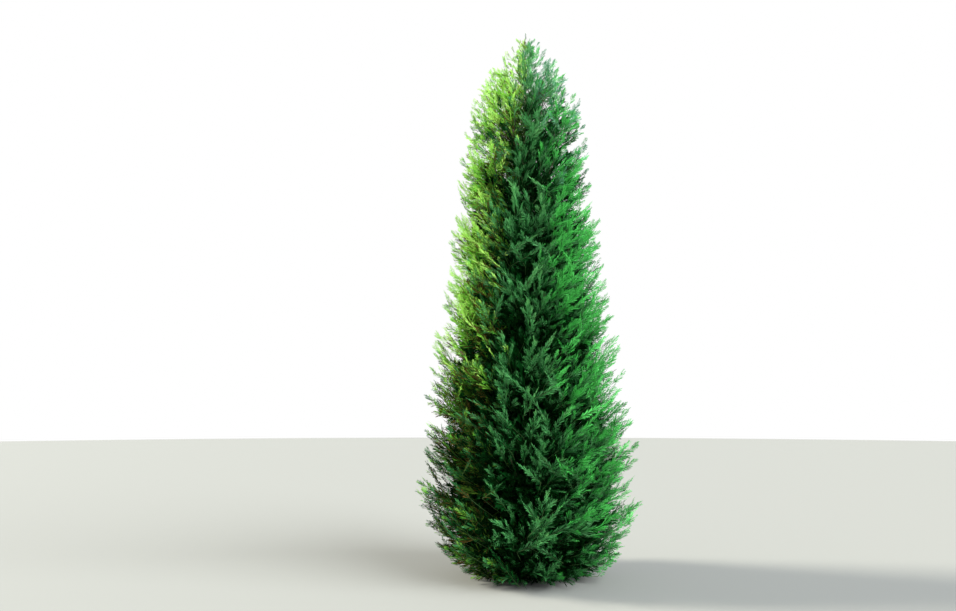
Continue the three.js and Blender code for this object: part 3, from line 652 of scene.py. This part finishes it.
def tones_for(start, s, branch, plume, tint):
    """A tone for each branchlet, from its place, its share s of the plume, and the draws of its branch,
    its plume and its own. The rows of LIGHTS, the share of the crown's radius, s and the draws add up to a
    painted light, whose steps pick lit and shaded copies of a green. Away from the open side the bright
    greens turn to a soft and a bright painted sky sheen, and some near the top turn a painted sky-lit teal.
    Where the sun reaches, a painted sun tone made the same way picks olive in shade to lime in full sun,
    with olive and brown inside its edge."""
    z = start[:, 2]
    bearing = bearing_of(start)
    share = out_of(start) / np.maximum(crown_radius(z), NARROWEST_CROWN)
    share = np.maximum(share, TOP_SHARE * ease(*TOP_HEIGHTS, z))
    low_left = ease(*LOW_LEFT_HEIGHTS, z) * ease(*LOW_LEFT_FACING, facing(bearing, SUN_SIDE))
    light = MIDDLE_LIGHT + LOW_LEFT_LIGHT * low_left
    for amounts, heights, toward, faces, elsewhere in LIGHTS:
        faced = mix(elsewhere, 1.0, ease(*faces, facing(bearing, toward)))
        light += mix(*amounts, ease(*heights, z)) * faced
    # Painted light and shade: lighter towards the plume's tip and the crown's surface, darker deeper inside.
    light += TIP_LIGHT * (s - 0.5) + OUTER_LIGHT * (share - USUAL_SHARE)
    light += sum(amount * (draw - 0.5) for amount, draw in zip(LIGHT_DRAWS, (branch, plume, tint)))
    tone = np.array(GREENS)[np.searchsorted(GREEN_STEPS, light)]
    open_side = ease(*OPEN_FACING, facing(bearing, OPEN_SIDE))
    # Painted sky sheen: away from the open side the bright greens turn paler, brighter where the light is
    # highest.
    pale = (tone >= EMERALD) & (mix(*PALE_EDGE, open_side) < mix(tint, branch, PALE_BRANCH))
    tone = np.where(pale, np.where(light > BRIGHT_SHEEN_STEP, BRIGHT_SKY_SHEEN, SOFT_SKY_SHEEN), tone)
    # Painted sky light: some greens near the top, facing the airy side, turn teal.
    airy = AIRY * ease(*AIRY_HEIGHTS, z) * ease(*AIRY_FACING, facing(bearing, AIRY_SIDE))
    tone = np.where((tone >= MID) & (branch < airy), SKY_LIT_TEAL, tone)
    # Painted sunlight: where the sun reaches, a sun tone summed like the light picks olive in shade to lime
    # in full sun.
    sun = sun_on(bearing, z, branch)
    sunlit_warmth = mix(*WARMTH, ease(*WARMTH_HEIGHTS, z)) + WARM_LOW_LEFT * low_left
    sunlit_warmth += WARM_MIDDLE * ease(*WARM_MIDDLE_FOOT, z) * ease(*WARM_MIDDLE_TOP, z)
    sunlit_warmth += WARM_TIP * (s - WARM_TIP_FROM) + WARM_OUTER * (share - USUAL_SHARE)
    sunlit_warmth += WARM_EDGE * (1.0 - sun) * ease(*WARM_EDGE_HEIGHTS, z)
    streak = (STREAKS * plume) % 1.0
    sunlit_warmth += sum(amount * (draw - 0.5) for amount, draw in zip(WARM_DRAWS, (branch, streak, tint)))
    sunny = plume < sun
    tone = np.where(sunny, np.array(WARMS)[np.searchsorted(WARM_STEPS, sunlit_warmth)], tone)
    inside = (share < BROWN_SHARE) & (s < BROWN_LAST)
    tone = np.where(sunny & inside & (tint < BROWN_INSIDE), BROWN, tone)
    rim = RIM_SHARE * 4.0 * sun * (1.0 - sun) * (share < RIM_REACH)
    return np.where(tint > 1.0 - rim, np.where(branch < 0.5, BROWN, OLIVE), tone)


def old_shaded_tones(start, draw):
    """Tones of aged foliage: painted shade of near-black and dark green, some olive where the painted sun
    reaches, and only dark green high up.
    """
    z = start[:, 2]
    sun = sun_on(bearing_of(start), z, draw)
    old_in_shade = np.where(draw < OLD_SUN_OLIVE * sun, OLIVE, np.where(draw < OLD_DEEP_SHADE, DEEP, DARK))
    return np.where(z > OLD_LESS_SHADE_HEIGHT, DARK, old_in_shade)


def leafy(branchlets, width, branch_draw, plume_draw, draws):
    """Points, faces and tones of branchlets, from the draws of each plume's branch and each plume."""
    start, heading, across, length, s, plume = branchlets
    points, faces = blades(start, heading, across, length, width)
    tones = tones_for(start, s, branch_draw[plume], plume_draw[plume], draws.random(len(start)))
    return points, faces, np.repeat(tones, 2)


def foliage_of(root, tip, share, settings, draws):
    """The feathery foliage on some branches. Plume 0 and a share of the others are kept."""
    base, direction, size, fineness, plume_draw = plumes_of(root, tip, settings.plumes, draws)
    branch_draw = np.repeat(draws.random(len(root)), settings.plumes).reshape(size.shape)
    kept = draws.random(size.shape) < share
    kept[:, 0] = True
    base, direction = base[kept], direction[kept]
    size = keep_in(base, direction, size[kept])
    branchlets = branchlets_of(
        base, direction, size, fineness[kept], settings.branchlets, settings.blade, draws)
    return leafy(branchlets, settings.blade_width, branch_draw[kept], plume_draw[kept], draws)


def slender_foliage(root, tip, settings, draws):
    """One long plume on each slender branch, with more and smaller branchlets, further aslant."""
    along = tip - root
    direction = unit(along)
    size = keep_in(root, direction, np.linalg.norm(along, axis=-1))
    branchlets = branchlets_of(
        root, direction, size, SLENDER_FINENESS, int(SLENDER_MORE * settings.branchlets),
        settings.blade, draws, slant=SLENDER_SLANT)
    branch_draw, plume_draw = mix(*SLENDER_DRAWS, draws.random(len(root))), draws.random(len(root))
    return leafy(branchlets, SLENDER_WIDTH * settings.blade_width, branch_draw, plume_draw, draws)


def inner_foliage(mass, count, draws):
    """Old plumes in painted shade, scattered over a mass's block, with broad branchlets that close the
    view through.
    """
    u, v = draws.uniform(-INNER_SPREAD, INNER_SPREAD, (2, count))
    level, bearing = MASSES.level(mass, v), MASSES.bearing(mass, u)
    out = out_at(level, bearing, draws.uniform(*INNER_OUT, count))
    base = point_at(level, bearing, out)
    direction = heading_at(level, bearing, out) + draws.normal(0.0, INNER_STRAY, (count, 3))
    high = base[:, 2] > INNER_LOWEST
    base, direction = base[high], unit(direction[high])
    size = keep_in(base, direction, np.full(len(base), INNER_SIZE), INNER_REACH)
    start, heading, across, length, _s, plume = branchlets_of(
        base, direction, size, 1.0, INNER_BRANCHLETS, INNER_BLADE, draws, INNER_SPLAY)
    points, faces = blades(start, heading, across, length, INNER_WIDTH)
    draw = draws.random(len(base))[plume]
    return points, faces, np.repeat(old_shaded_tones(start, draw), 2)


def joined(parts):
    """Meshes joined in one: points, faces moved on by the points before them, and slots."""
    before = np.cumsum([0] + [len(points) for points, _faces, _slots in parts])
    faces = [faces + first for (_points, faces, _slots), first in zip(parts, before)]
    return (np.concatenate([part[0] for part in parts]), np.concatenate(faces),
            np.concatenate([part[2] for part in parts]))


def closed_faces(rings, sides):
    """Triangles over rings of points, closed round, and fans to the two end points that follow them."""
    r, q = np.meshgrid(np.arange(rings - 1), np.arange(sides), indexing="ij")
    a, b = (r * sides + q).ravel(), (r * sides + (q + 1) % sides).ravel()
    here, on = np.arange(sides), (np.arange(sides) + 1) % sides
    last, foot = (rings - 1) * sides, np.full(sides, rings * sides)
    walls = (a, b, b + sides), (a, b + sides, a + sides)
    fans = (foot, on, here), (foot + 1, last + here, last + on)
    return np.concatenate([np.stack(corners, axis=-1) for corners in (*walls, *fans)])


def tubes(centres, radii, sides):
    """Tubes along paths, on an even taper between two radii: a ring of points round each centre, across
    the path's direction there, and a point beyond each end. centres is (n, k, 3)."""
    n, k, _ = centres.shape
    radii = np.broadcast_to(np.linspace(*radii, k, axis=-1), (n, k))[..., None]
    axis = unit(np.gradient(centres, axis=1))
    ring = centres[:, :, None] + ring_round(axis, sides) * radii[..., None]
    first = centres[:, :1] - axis[:, :1] * radii[:, :1] * 0.5
    last = centres[:, -1:] + axis[:, -1:] * radii[:, -1:]
    points = np.concatenate([ring.reshape(n, k * sides, 3), first, last], axis=1)
    faces = closed_faces(k, sides) + points.shape[1] * np.arange(n)[:, None, None]
    return points.reshape(-1, 3), faces.reshape(-1, 3)


def closed_grid(grid):
    """Points and faces of one grid of rings, with a point in the middle of each end."""
    points = np.concatenate([grid.reshape(-1, 3), grid[:1].mean(axis=1), grid[-1:].mean(axis=1)])
    return points, closed_faces(*grid.shape[:2])


def solid_mesh(name, points, faces, materials, slots=0, smooth=False):
    """A mesh object in metres from points in millimetres and triangles, swayed with the leader."""
    points = sway(points) * MM
    points[:, 2] = np.maximum(points[:, 2], 0.0)
    mesh = bpy.data.meshes.new(name)
    mesh.vertices.add(len(points))
    mesh.loops.add(faces.size)
    mesh.polygons.add(len(faces))
    for rows, key, values in (
        (mesh.vertices, "co", points.astype(np.float32).ravel()),
        (mesh.loops, "vertex_index", faces.astype(np.int32).ravel()),
        (mesh.polygons, "loop_start", np.arange(0, faces.size, 3, dtype=np.int32)),
        (mesh.polygons, "material_index", np.broadcast_to(slots, len(faces)).astype(np.int32)),
        (mesh.polygons, "use_smooth", np.full(len(faces), smooth)),
    ):
        rows.foreach_set(key, values)
    for material in materials:
        mesh.materials.append(material)
    mesh.update(calc_edges=True)
    mesh.validate()
    thing = bpy.data.objects.new(name, mesh)
    bpy.context.scene.collection.objects.link(thing)
    return thing


def node_names(kind, *tiers):
    """The frame's nodes of one kind in some tiers."""
    return [name for tier in tiers for name in sorted(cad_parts) if name.startswith(f"{kind}_{tier}")]


def matt_material(name, colour, roughness, shine=BARK_SHINE):
    """A plain matt material, made once."""
    material = bpy.data.materials.get(name) or bpy.data.materials.new(name)
    material.use_nodes = True
    shader = material.node_tree.nodes["Principled BSDF"]
    shader.inputs["Base Color"].default_value = (*colour, 1.0)
    shader.inputs["Roughness"].default_value = roughness
    shader.inputs["Specular IOR Level"].default_value = shine
    material.diffuse_color = (*colour, 1.0)
    return material


def foliage_materials(colours):
    """One plain matt material for each tone."""
    return [matt_material(f"foliage_{key}", getattr(colours, key), colours.roughness, colours.shine)
            for key, _default in TONES]


def wire(links, *rows):
    """Links from an output of one node to an input of another."""
    for source, output, target, socket in rows:
        links.new(source.outputs[output], target.inputs[socket])


def placed(nodes, kind, **values):
    """A new node with values for its sockets, whose names are given with underscores for spaces."""
    node = nodes.new(kind)
    for name, value in values.items():
        node.inputs[name.replace("_", " ")].default_value = value
    return node


def bark_group():
    """The node group of fibrous bark: noise stretched along Z on Object coordinates gives the fibres'
    height and roughness, and their colour from Dark to Light, with Moss over broad patches."""
    group = bpy.data.node_groups.get("bark_fibres")
    if group is not None:
        return group
    group = bpy.data.node_groups.new("bark_fibres", "ShaderNodeTree")
    for side, kind, names in (
        ("INPUT", "Color", ("Dark", "Light", "Moss")), ("INPUT", "Float", ("Fibre Scale", "Moss Share")),
        ("OUTPUT", "Color", ("Color",)), ("OUTPUT", "Float", ("Roughness", "Height")),
    ):
        for name in names:
            group.interface.new_socket(name=name, in_out=side, socket_type=f"NodeSocket{kind}")
    nodes = group.nodes
    enter, leave = nodes.new("NodeGroupInput"), nodes.new("NodeGroupOutput")
    place = nodes.new("ShaderNodeTexCoord")
    stretch = placed(nodes, "ShaderNodeMapping", Scale=(1.0, 1.0, 0.09))
    fibres = placed(nodes, "ShaderNodeTexNoise", Detail=6.0, Roughness=0.62, Distortion=0.6)
    patches = placed(nodes, "ShaderNodeTexNoise", Scale=3.2, Detail=4.0)
    ridge = placed(nodes, "ShaderNodeMapRange", From_Min=0.36, From_Max=0.66)
    moss = placed(nodes, "ShaderNodeMapRange", From_Min=0.52, From_Max=0.68)
    rough = placed(nodes, "ShaderNodeMapRange", To_Min=0.95, To_Max=0.72)
    amount = nodes.new("ShaderNodeMath")
    amount.operation = "MULTIPLY"
    colour, mossy = nodes.new("ShaderNodeMix"), nodes.new("ShaderNodeMix")
    colour.data_type = mossy.data_type = "RGBA"
    wire(
        group.links, (place, "Object", stretch, "Vector"), (stretch, "Vector", fibres, "Vector"),
        (enter, "Fibre Scale", fibres, "Scale"), (place, "Object", patches, "Vector"),
        (fibres, "Fac", ridge, "Value"), (ridge, "Result", colour, "Factor"),
        (enter, "Dark", colour, "A"), (enter, "Light", colour, "B"),
        (patches, "Fac", moss, "Value"), (moss, "Result", amount, 0), (enter, "Moss Share", amount, 1),
        (amount, "Value", mossy, "Factor"), (colour, "Result", mossy, "A"), (enter, "Moss", mossy, "B"),
        (fibres, "Fac", rough, "Value"), (mossy, "Result", leave, "Color"),
        (rough, "Result", leave, "Roughness"), (fibres, "Fac", leave, "Height"))
    return group


def bark_material(name, scale, moss, colours):
    """Bark whose fibres, colours and small relief come from the bark group."""
    material = matt_material(name, colours.ridge, roughness=0.9)
    nodes, links = material.node_tree.nodes, material.node_tree.links
    shader, fibres = nodes["Principled BSDF"], nodes.new("ShaderNodeGroup")
    fibres.node_tree = bark_group()
    for socket, value in (
        ("Dark", (*colours.furrow, 1.0)), ("Light", (*colours.ridge, 1.0)), ("Moss", (*colours.moss, 1.0)),
        ("Fibre Scale", scale), ("Moss Share", moss),
    ):
        fibres.inputs[socket].default_value = value
    bump = placed(nodes, "ShaderNodeBump", Strength=0.6, Distance=0.004)
    wire(links, (fibres, "Color", shader, "Base Color"), (fibres, "Roughness", shader, "Roughness"),
         (fibres, "Height", bump, "Height"), (bump, "Normal", shader, "Normal"))
    return material


def furrows(angle, z, depth):
    """The relief of fibrous bark, from 0 to depth: coarse and fine ridges round the limb and breaks along
    it, sines of the angle whose phase drifts with height by the rows of DRIFTS."""
    drift = sum(size * np.sin(z / wave_length + start + turns * angle)
                for size, wave_length, start, turns in DRIFTS)
    coarse = np.abs(np.sin(5.5 * angle + drift + 0.5 * np.sin(2 * angle + z / 240.0)))
    fine = np.abs(np.sin(13.0 * angle - 1.7 * drift + z / 95.0))
    breaks = 0.5 + 0.5 * np.sin(z / 37.0 + 2.2 * np.sin(3 * angle + z / 300.0))
    return depth * (0.55 * coarse + 0.30 * fine + 0.15 * breaks)


def trunk_points(relief):
    """The trunk's surface: at each height a circle of the trunk's radius, widened by the lobed root flare,
    which fades as e to the minus height over 85, with the bark's relief, less on the thin top."""
    z = TRUNK_TOP * (np.arange(TRUNK_RINGS) / (TRUNK_RINGS - 1.0)) ** TRUNK_RING_POWER
    z, angle = np.meshgrid(z, ring_angles(TRUNK_SIDES), indexing="ij")
    flare = np.exp(-z / FLARE_HEIGHT)
    lobe = 1.0 + FLARE_LOBE_SHARE * flare * np.cos(FLARE_LOBES * angle)
    smooth = trunk_radius(z) * (1.0 + FLARE_SHARE * flare) * lobe
    shrink = np.clip(smooth / TRUNK_RADIUS, LEAST_RELIEF, 1.0)
    radius = smooth - 0.5 * relief * shrink + furrows(angle, z, relief) * shrink
    return around(angle, radius, z)


def bough_points(limb):
    """A bough's surface: rings across its mass's curve on an even taper, with a collar that fades as e to
    the minus 14 times the share of the length, and the bark's relief."""
    share = np.linspace(0.0, 1.0, BOUGH_RINGS)
    out = mix(BOUGH_ROOT, MASSES.bough_out[limb], share)
    place = MASSES.stem_level[limb], MASSES.stem_bearing[limb], out
    radius = mix(BOUGH_RADIUS - BOUGH_THINNING * MASSES.row[limb], BOUGH_TIP_RADIUS, share)
    radius = radius * (1.0 + (BOUGH_COLLAR - 1.0) * np.exp(-share * BOUGH_COLLAR_FADE))
    angle = ring_angles(BOUGH_SIDES) + limb
    radius = radius[:, None] + furrows(angle, out[:, None], BOUGH_RELIEF) - BOUGH_RELIEF / 2.0
    ring = ring_round(heading_at(*place), BOUGH_SIDES)
    return point_at(*place)[:, None] + radius[..., None] * ring


def stem_ends():
    """How far out each mass's stem begins, in its bough's end or at the axis, and ends."""
    begin = np.where(MASSES.bough, MASSES.bough_out - STEM_OVERLAP, 0.0)
    return begin, out_at(MASSES.stem_level, MASSES.stem_bearing, STEM_END)


def stems():
    """The masses' stems: tubes along their curves, with an even taper."""
    level, bearing, share = MASSES.stem_level, MASSES.stem_bearing, np.linspace(0.0, 1.0, STEM_POINTS)
    begin, end = stem_ends()
    centre = point_at(level[:, None], bearing[:, None], mix(begin[:, None], end[:, None], share))
    thick = np.minimum(STEM_RADIUS, STEM_SHARE * trunk_radius(level))
    thick = np.where(MASSES.bough, BOUGH_TIP_RADIUS, thick)
    return tubes(centre, (thick, STEM_END_RADIUS), STEM_SIDES)


def twig_paths(mass, root, tip):
    """Cubic curves from the masses' stems to the roots of branches. Each leaves its stem along it, further
    in than the root, and turns into its branch."""
    level, bearing = MASSES.stem_level[mass], MASSES.stem_bearing[mass]
    begin, end = stem_ends()
    out = np.clip(out_of(root) * TWIG_LEAVES, begin[mass] + TWIG_GAP, end[mass])
    start = point_at(level, bearing, out)
    gap = np.linalg.norm(root - start, axis=-1)[:, None]
    one = start + heading_at(level, bearing, out) * gap * TWIG_BENDS[0]
    two = root - unit(tip - root) * gap * TWIG_BENDS[1]
    start, one, two, root = (points[:, None] for points in (start, one, two, root))
    t = np.linspace(0.0, 1.0, TWIG_POINTS)[None, :, None]
    return start * (1 - t) ** 3 + one * 3 * t * (1 - t) ** 2 + two * 3 * t * t * (1 - t) + root * t**3


def bare_axes(root, tip, radii, sides):
    """Tubes along the first part of branches, on the branches' curve."""
    share = np.tile(np.linspace(0.0, BRANCH_BARE, BARE_POINTS), (len(root), 1))
    return tubes(branch_point(root, tip, share), radii, sides)


class CypressSizes(bpy.types.PropertyGroup):
    """Sizes of the twigs and foliage."""

    filling: bpy.props.FloatProperty(
        name="Filling branches", description="Branches added for each of the frame's own sprays",
        default=2.8, min=0, max=4)
    slender: bpy.props.FloatProperty(
        name="Slender branches", description="Slender ones for each of the frame's own sprays",
        default=1.0, min=0, max=4)
    plumes: bpy.props.IntProperty(
        name="Plumes", description="Feathery plumes on each branch", default=10, min=1, max=20)
    branchlets: bpy.props.IntProperty(
        name="Branchlets", description="Branchlets in each plume", default=28, min=4, max=60)
    blade: bpy.props.FloatProperty(
        name="Branchlet length", description="Length of the longest branchlets of a plume 150 mm long",
        default=0.47, subtype="FACTOR", min=0.05, max=1)
    blade_width: bpy.props.FloatProperty(
        name="Branchlet width", description="Half the width, for its length",
        default=0.085, subtype="FACTOR", min=0.02, max=0.5)
    inner: bpy.props.IntProperty(
        name="Inner plumes", description="Plumes of old foliage inside each mass",
        default=140, min=0, max=300)
    bark_relief: bpy.props.FloatProperty(
        name="Bark relief", description="Depth of the furrows at the trunk's foot",
        default=0.006, unit="LENGTH", min=0, max=0.02)
    seed: bpy.props.IntProperty(
        name="Seed", description="Start of the scattered draws", default=7, min=0)


class CypressColours(bpy.types.PropertyGroup):
    """Colours of the foliage, twigs and bark."""

    roughness: bpy.props.FloatProperty(
        name="Leaf roughness", description="Roughness of the foliage",
        default=0.7, subtype="FACTOR", min=0, max=1)
    shine: bpy.props.FloatProperty(
        name="Leaf shine", description="Specular level of the foliage",
        default=0.05, subtype="FACTOR", min=0, max=1)
    for _rows, _kind in ((WOODS, "bark and twigs"), (TONES, "foliage")):
        for _key, _default in _rows:
            _label = _key.replace("_", " ")
            __annotations__[_key] = bpy.props.FloatVectorProperty(
                name=_label.capitalize(), description=f"Colour of the {_kind}: {_label}",
                default=_default, subtype="COLOR", size=3, min=0, max=1)
    del _rows, _kind, _key, _label, _default


class CypressStage(bpy.types.PropertyGroup):
    """The floor, lights and camera."""

    floor: bpy.props.FloatVectorProperty(
        name="Floor", description="Colour of the floor",
        default=(0.29, 0.29, 0.29), subtype="COLOR", size=3, min=0, max=1)
    eye: bpy.props.FloatVectorProperty(
        name="Eye", description="Place of the camera",
        default=(-0.53, -7.37, 1.55), subtype="TRANSLATION", unit="LENGTH", size=3)
    pitch: bpy.props.FloatProperty(
        name="Pitch", description="How far the camera looks up",
        default=math.radians(9.5), subtype="ANGLE")
    lens: bpy.props.FloatProperty(
        name="Lens", description="Focal length on a 36 mm sensor",
        default=26.0, unit="CAMERA", min=10, max=200)
    open_side: bpy.props.FloatProperty(
        name="Open side", description="Strength of the soft light from the right", default=5.2, min=0)
    low_sun: bpy.props.FloatProperty(
        name="Low sun", description="Strength of the warm light from behind on the left",
        default=5.6, min=0)
    sky: bpy.props.FloatProperty(
        name="Sky", description="Strength of the pale sky", default=0.62, min=0)


class CYPRESS_OT_trunk(bpy.types.Operator):
    """Make the trunk with its bark's relief"""

    bl_idname = "cypress.trunk"
    bl_label = "Trunk"

    def execute(self, context):
        sizes, colours = context.scene.cypress_sizes, context.scene.cypress_colours
        points, faces = closed_grid(trunk_points(sizes.bark_relief / MM))
        bark = bark_material("trunk_bark", TRUNK_FIBRES, TRUNK_MOSS, colours)
        thing = solid_mesh("trunk_bark", points, faces, [bark], smooth=True)
        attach(thing, "root")
        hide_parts("trunk")
        return {"FINISHED"}


class CYPRESS_OT_boughs(bpy.types.Operator):
    """Make the boughs of the three lowest tiers with their bark's relief"""

    bl_idname = "cypress.boughs"
    bl_label = "Boughs"

    def execute(self, context):
        grids = [closed_grid(bough_points(limb)) for limb in np.flatnonzero(MASSES.bough)]
        points, faces, _slots = joined([(*grid, np.zeros(len(grid[1]), int)) for grid in grids])
        bark = bark_material("bough_bark", BOUGH_FIBRES, BOUGH_MOSS, context.scene.cypress_colours)
        thing = solid_mesh("boughs_bark", points, faces, [bark], smooth=True)
        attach(thing, "root")
        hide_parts(*node_names("bough", "skirt", "lower", "waist"))
        return {"FINISHED"}


class CYPRESS_OT_twigs(bpy.types.Operator):
    """Make the stems of the masses, the twigs to each branch and the shoots of the leader"""

    bl_idname = "cypress.twigs"
    bl_label = "Twigs"

    def execute(self, context):
        sizes, colours = context.scene.cypress_sizes, context.scene.cypress_colours
        mass, root, tip = all_branches(sizes)
        _slim_mass, slim_root, slim_tip = slender_branches(sizes.slender)
        low, high = LEADER_ENDS
        leader = np.linspace((0.0, 0.0, low), (0.0, 0.0, high), LEADER_POINTS)[None]
        brown, green = 0, 1
        pieces = (
            (stems(), brown),
            (tubes(twig_paths(mass, root, tip), TWIG_RADII, TWIG_SIDES), brown),
            (bare_axes(root, tip, BRANCH_RADII, TWIG_SIDES), green),
            (bare_axes(*leader_branches(), SHOOT_RADII, SHOOT_SIDES), green),
            (tubes(leader, LEADER_RADII, LEADER_SIDES), brown),
            (tubes(slender_paths(slim_root, slim_tip), SLENDER_RADII, TWIG_SIDES), green),
        )
        points, faces, slots = joined([(*piece, np.full(len(piece[1]), slot)) for piece, slot in pieces])
        points[:, 2] = np.maximum(points[:, 2], WOOD_LOWEST)
        bare = matt_material("twig_bark", colours.twig, roughness=0.8)
        fresh = matt_material("green_shoot", colours.shoot, roughness=0.7)
        thing = solid_mesh("twigs", points, faces, [bare, fresh], slots, smooth=True)
        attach(thing, "root")
        return {"FINISHED"}


class CYPRESS_OT_foliage(bpy.types.Operator):
    """Make the foliage of the masses, one piece for each tier"""

    bl_idname = "cypress.foliage"
    bl_label = "Foliage"

    def execute(self, context):
        sizes, colours = context.scene.cypress_sizes, context.scene.cypress_colours
        mass, root, tip = all_branches(sizes)
        slim_mass, slim_root, slim_tip = slender_branches(sizes.slender)
        materials = foliage_materials(colours)
        for row, (tier, *_rest) in enumerate(TIERS):
            draws = np.random.default_rng([sizes.seed, row])
            own, slim = MASSES.row[mass] == row, MASSES.row[slim_mass] == row
            parts = [foliage_of(root[own], tip[own], PLUMES_KEPT[row], sizes, draws)]
            for here in np.flatnonzero(MASSES.row == row):
                parts.append(inner_foliage(here, int(sizes.inner * INNER_KEPT[row]), draws))
            parts.append(slender_foliage(slim_root[slim], slim_tip[slim], sizes, draws))
            points, faces, slots = joined(parts)
            thing = solid_mesh(f"foliage_{tier}", points, faces, materials, slots)
            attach(thing, "root")
            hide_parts(*node_names("foliage", tier))
        return {"FINISHED"}


class CYPRESS_OT_leader(bpy.types.Operator):
    """Make the foliage of the leading shoot"""

    bl_idname = "cypress.leader"
    bl_label = "Leader"

    def execute(self, context):
        sizes, colours = context.scene.cypress_sizes, context.scene.cypress_colours
        draws = np.random.default_rng([sizes.seed, LEADER_DRAW])
        points, faces, slots = foliage_of(*leader_branches(), LEADER_PLUMES_KEPT, sizes, draws)
        thing = solid_mesh("foliage_leading_shoot", points, faces, foliage_materials(colours), slots)
        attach(thing, "root")
        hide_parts("foliage_leader")
        return {"FINISHED"}


def soft_sun(name, strength, colour, bearing, elevation, spread):
    """A broad sun lamp, by where it shines from and the width of its disc, in degrees."""
    lamp = bpy.data.lights.new(name, "SUN")
    lamp.energy = strength
    lamp.color = colour
    lamp.angle = math.radians(spread)
    thing = bpy.data.objects.new(name, lamp)
    bpy.context.scene.collection.objects.link(thing)
    thing.rotation_euler = (math.radians(90.0 - elevation), 0.0, math.radians(bearing + 90.0))


def pale_sky(strength):
    """A world that lights the scene with a pale sky and shows plain white behind it."""
    world = bpy.data.worlds.new("pale_sky")
    world.use_nodes = True
    nodes, links = world.node_tree.nodes, world.node_tree.links
    shade = nodes["Background"]
    shade.inputs["Color"].default_value = (0.92, 0.97, 1.0, 1.0)
    shade.inputs["Strength"].default_value = strength
    seen = placed(nodes, "ShaderNodeBackground", Color=(1.0, 1.0, 1.0, 1.0), Strength=1.0)
    path, either = nodes.new("ShaderNodeLightPath"), nodes.new("ShaderNodeMixShader")
    wire(links, (path, "Is Camera Ray", either, "Fac"), (shade, "Background", either, 1),
         (seen, "Background", either, 2), (either, "Shader", nodes["World Output"], "Surface"))
    return world


class CYPRESS_OT_stage(bpy.types.Operator):
    """Make the floor, the lights, the sky and the camera"""

    bl_idname = "cypress.stage"
    bl_label = "Stage"

    def execute(self, context):
        stage, scene = context.scene.cypress_stage, context.scene
        camera = bpy.data.cameras.new("camera")
        camera.sensor_width = 36.0
        camera.lens = stage.lens
        camera.clip_end = 200.0
        eye = bpy.data.objects.new("camera", camera)
        scene.collection.objects.link(eye)
        eye.location = stage.eye
        eye.rotation_euler = (math.radians(90.0) + stage.pitch, 0.0, 0.0)
        scene.camera = eye
        floor = bpy.data.meshes.new("floor")
        rim = around(ring_angles(FLOOR_SIDES), FLOOR_RADIUS, -FLOOR_GAP)
        floor.from_pydata(rim.tolist(), [], [list(range(FLOOR_SIDES))])
        floor.materials.append(matt_material("floor", stage.floor, roughness=0.9))
        ground = bpy.data.objects.new("floor", floor)
        scene.collection.objects.link(ground)
        soft_sun("open_side", stage.open_side, (0.95, 1.0, 0.95), bearing=-36.0, elevation=36.0, spread=50.0)
        soft_sun("low_sun", stage.low_sun, (1.0, 0.97, 0.80), bearing=170.0, elevation=32.0, spread=16.0)
        scene.world = pale_sky(stage.sky)
        scene.view_settings.view_transform = "Standard"
        scene.view_settings.look = "None"
        return {"FINISHED"}


class CYPRESS_PT_panel(bpy.types.Panel):
    """Sizes, colours and pieces of the cypress"""

    bl_idname = "CYPRESS_PT_panel"
    bl_label = "Leyland cypress"
    bl_space_type = "VIEW_3D"
    bl_region_type = "UI"
    bl_category = "Cypress"

    def draw(self, context):
        for name, group in GROUPS:
            box = self.layout.box()
            for key in group.__annotations__:
                box.prop(getattr(context.scene, name), key)
        for operator in OPERATORS:
            self.layout.operator(operator.bl_idname)


OPERATORS = (CYPRESS_OT_stage, CYPRESS_OT_trunk, CYPRESS_OT_boughs, CYPRESS_OT_twigs, CYPRESS_OT_foliage,
             CYPRESS_OT_leader)
GROUPS = (("cypress_sizes", CypressSizes), ("cypress_colours", CypressColours),
          ("cypress_stage", CypressStage))
CLASSES = (CypressSizes, CypressColours, CypressStage, *OPERATORS, CYPRESS_PT_panel)


def register():
    """Register the groups, operators and panel."""
    for each in CLASSES:
        bpy.utils.register_class(each)
    for name, group in GROUPS:
        setattr(bpy.types.Scene, name, bpy.props.PointerProperty(type=group))


def unregister():
    """Take them away again."""
    for name, _group in GROUPS:
        delattr(bpy.types.Scene, name)
    for each in reversed(CLASSES):
        bpy.utils.unregister_class(each)


def main():
    """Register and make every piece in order."""
    register()
    bpy.ops.cypress.stage()
    bpy.ops.cypress.trunk()
    bpy.ops.cypress.boughs()
    bpy.ops.cypress.twigs()
    bpy.ops.cypress.foliage()
    bpy.ops.cypress.leader()


if __name__ == "__main__":
    main()
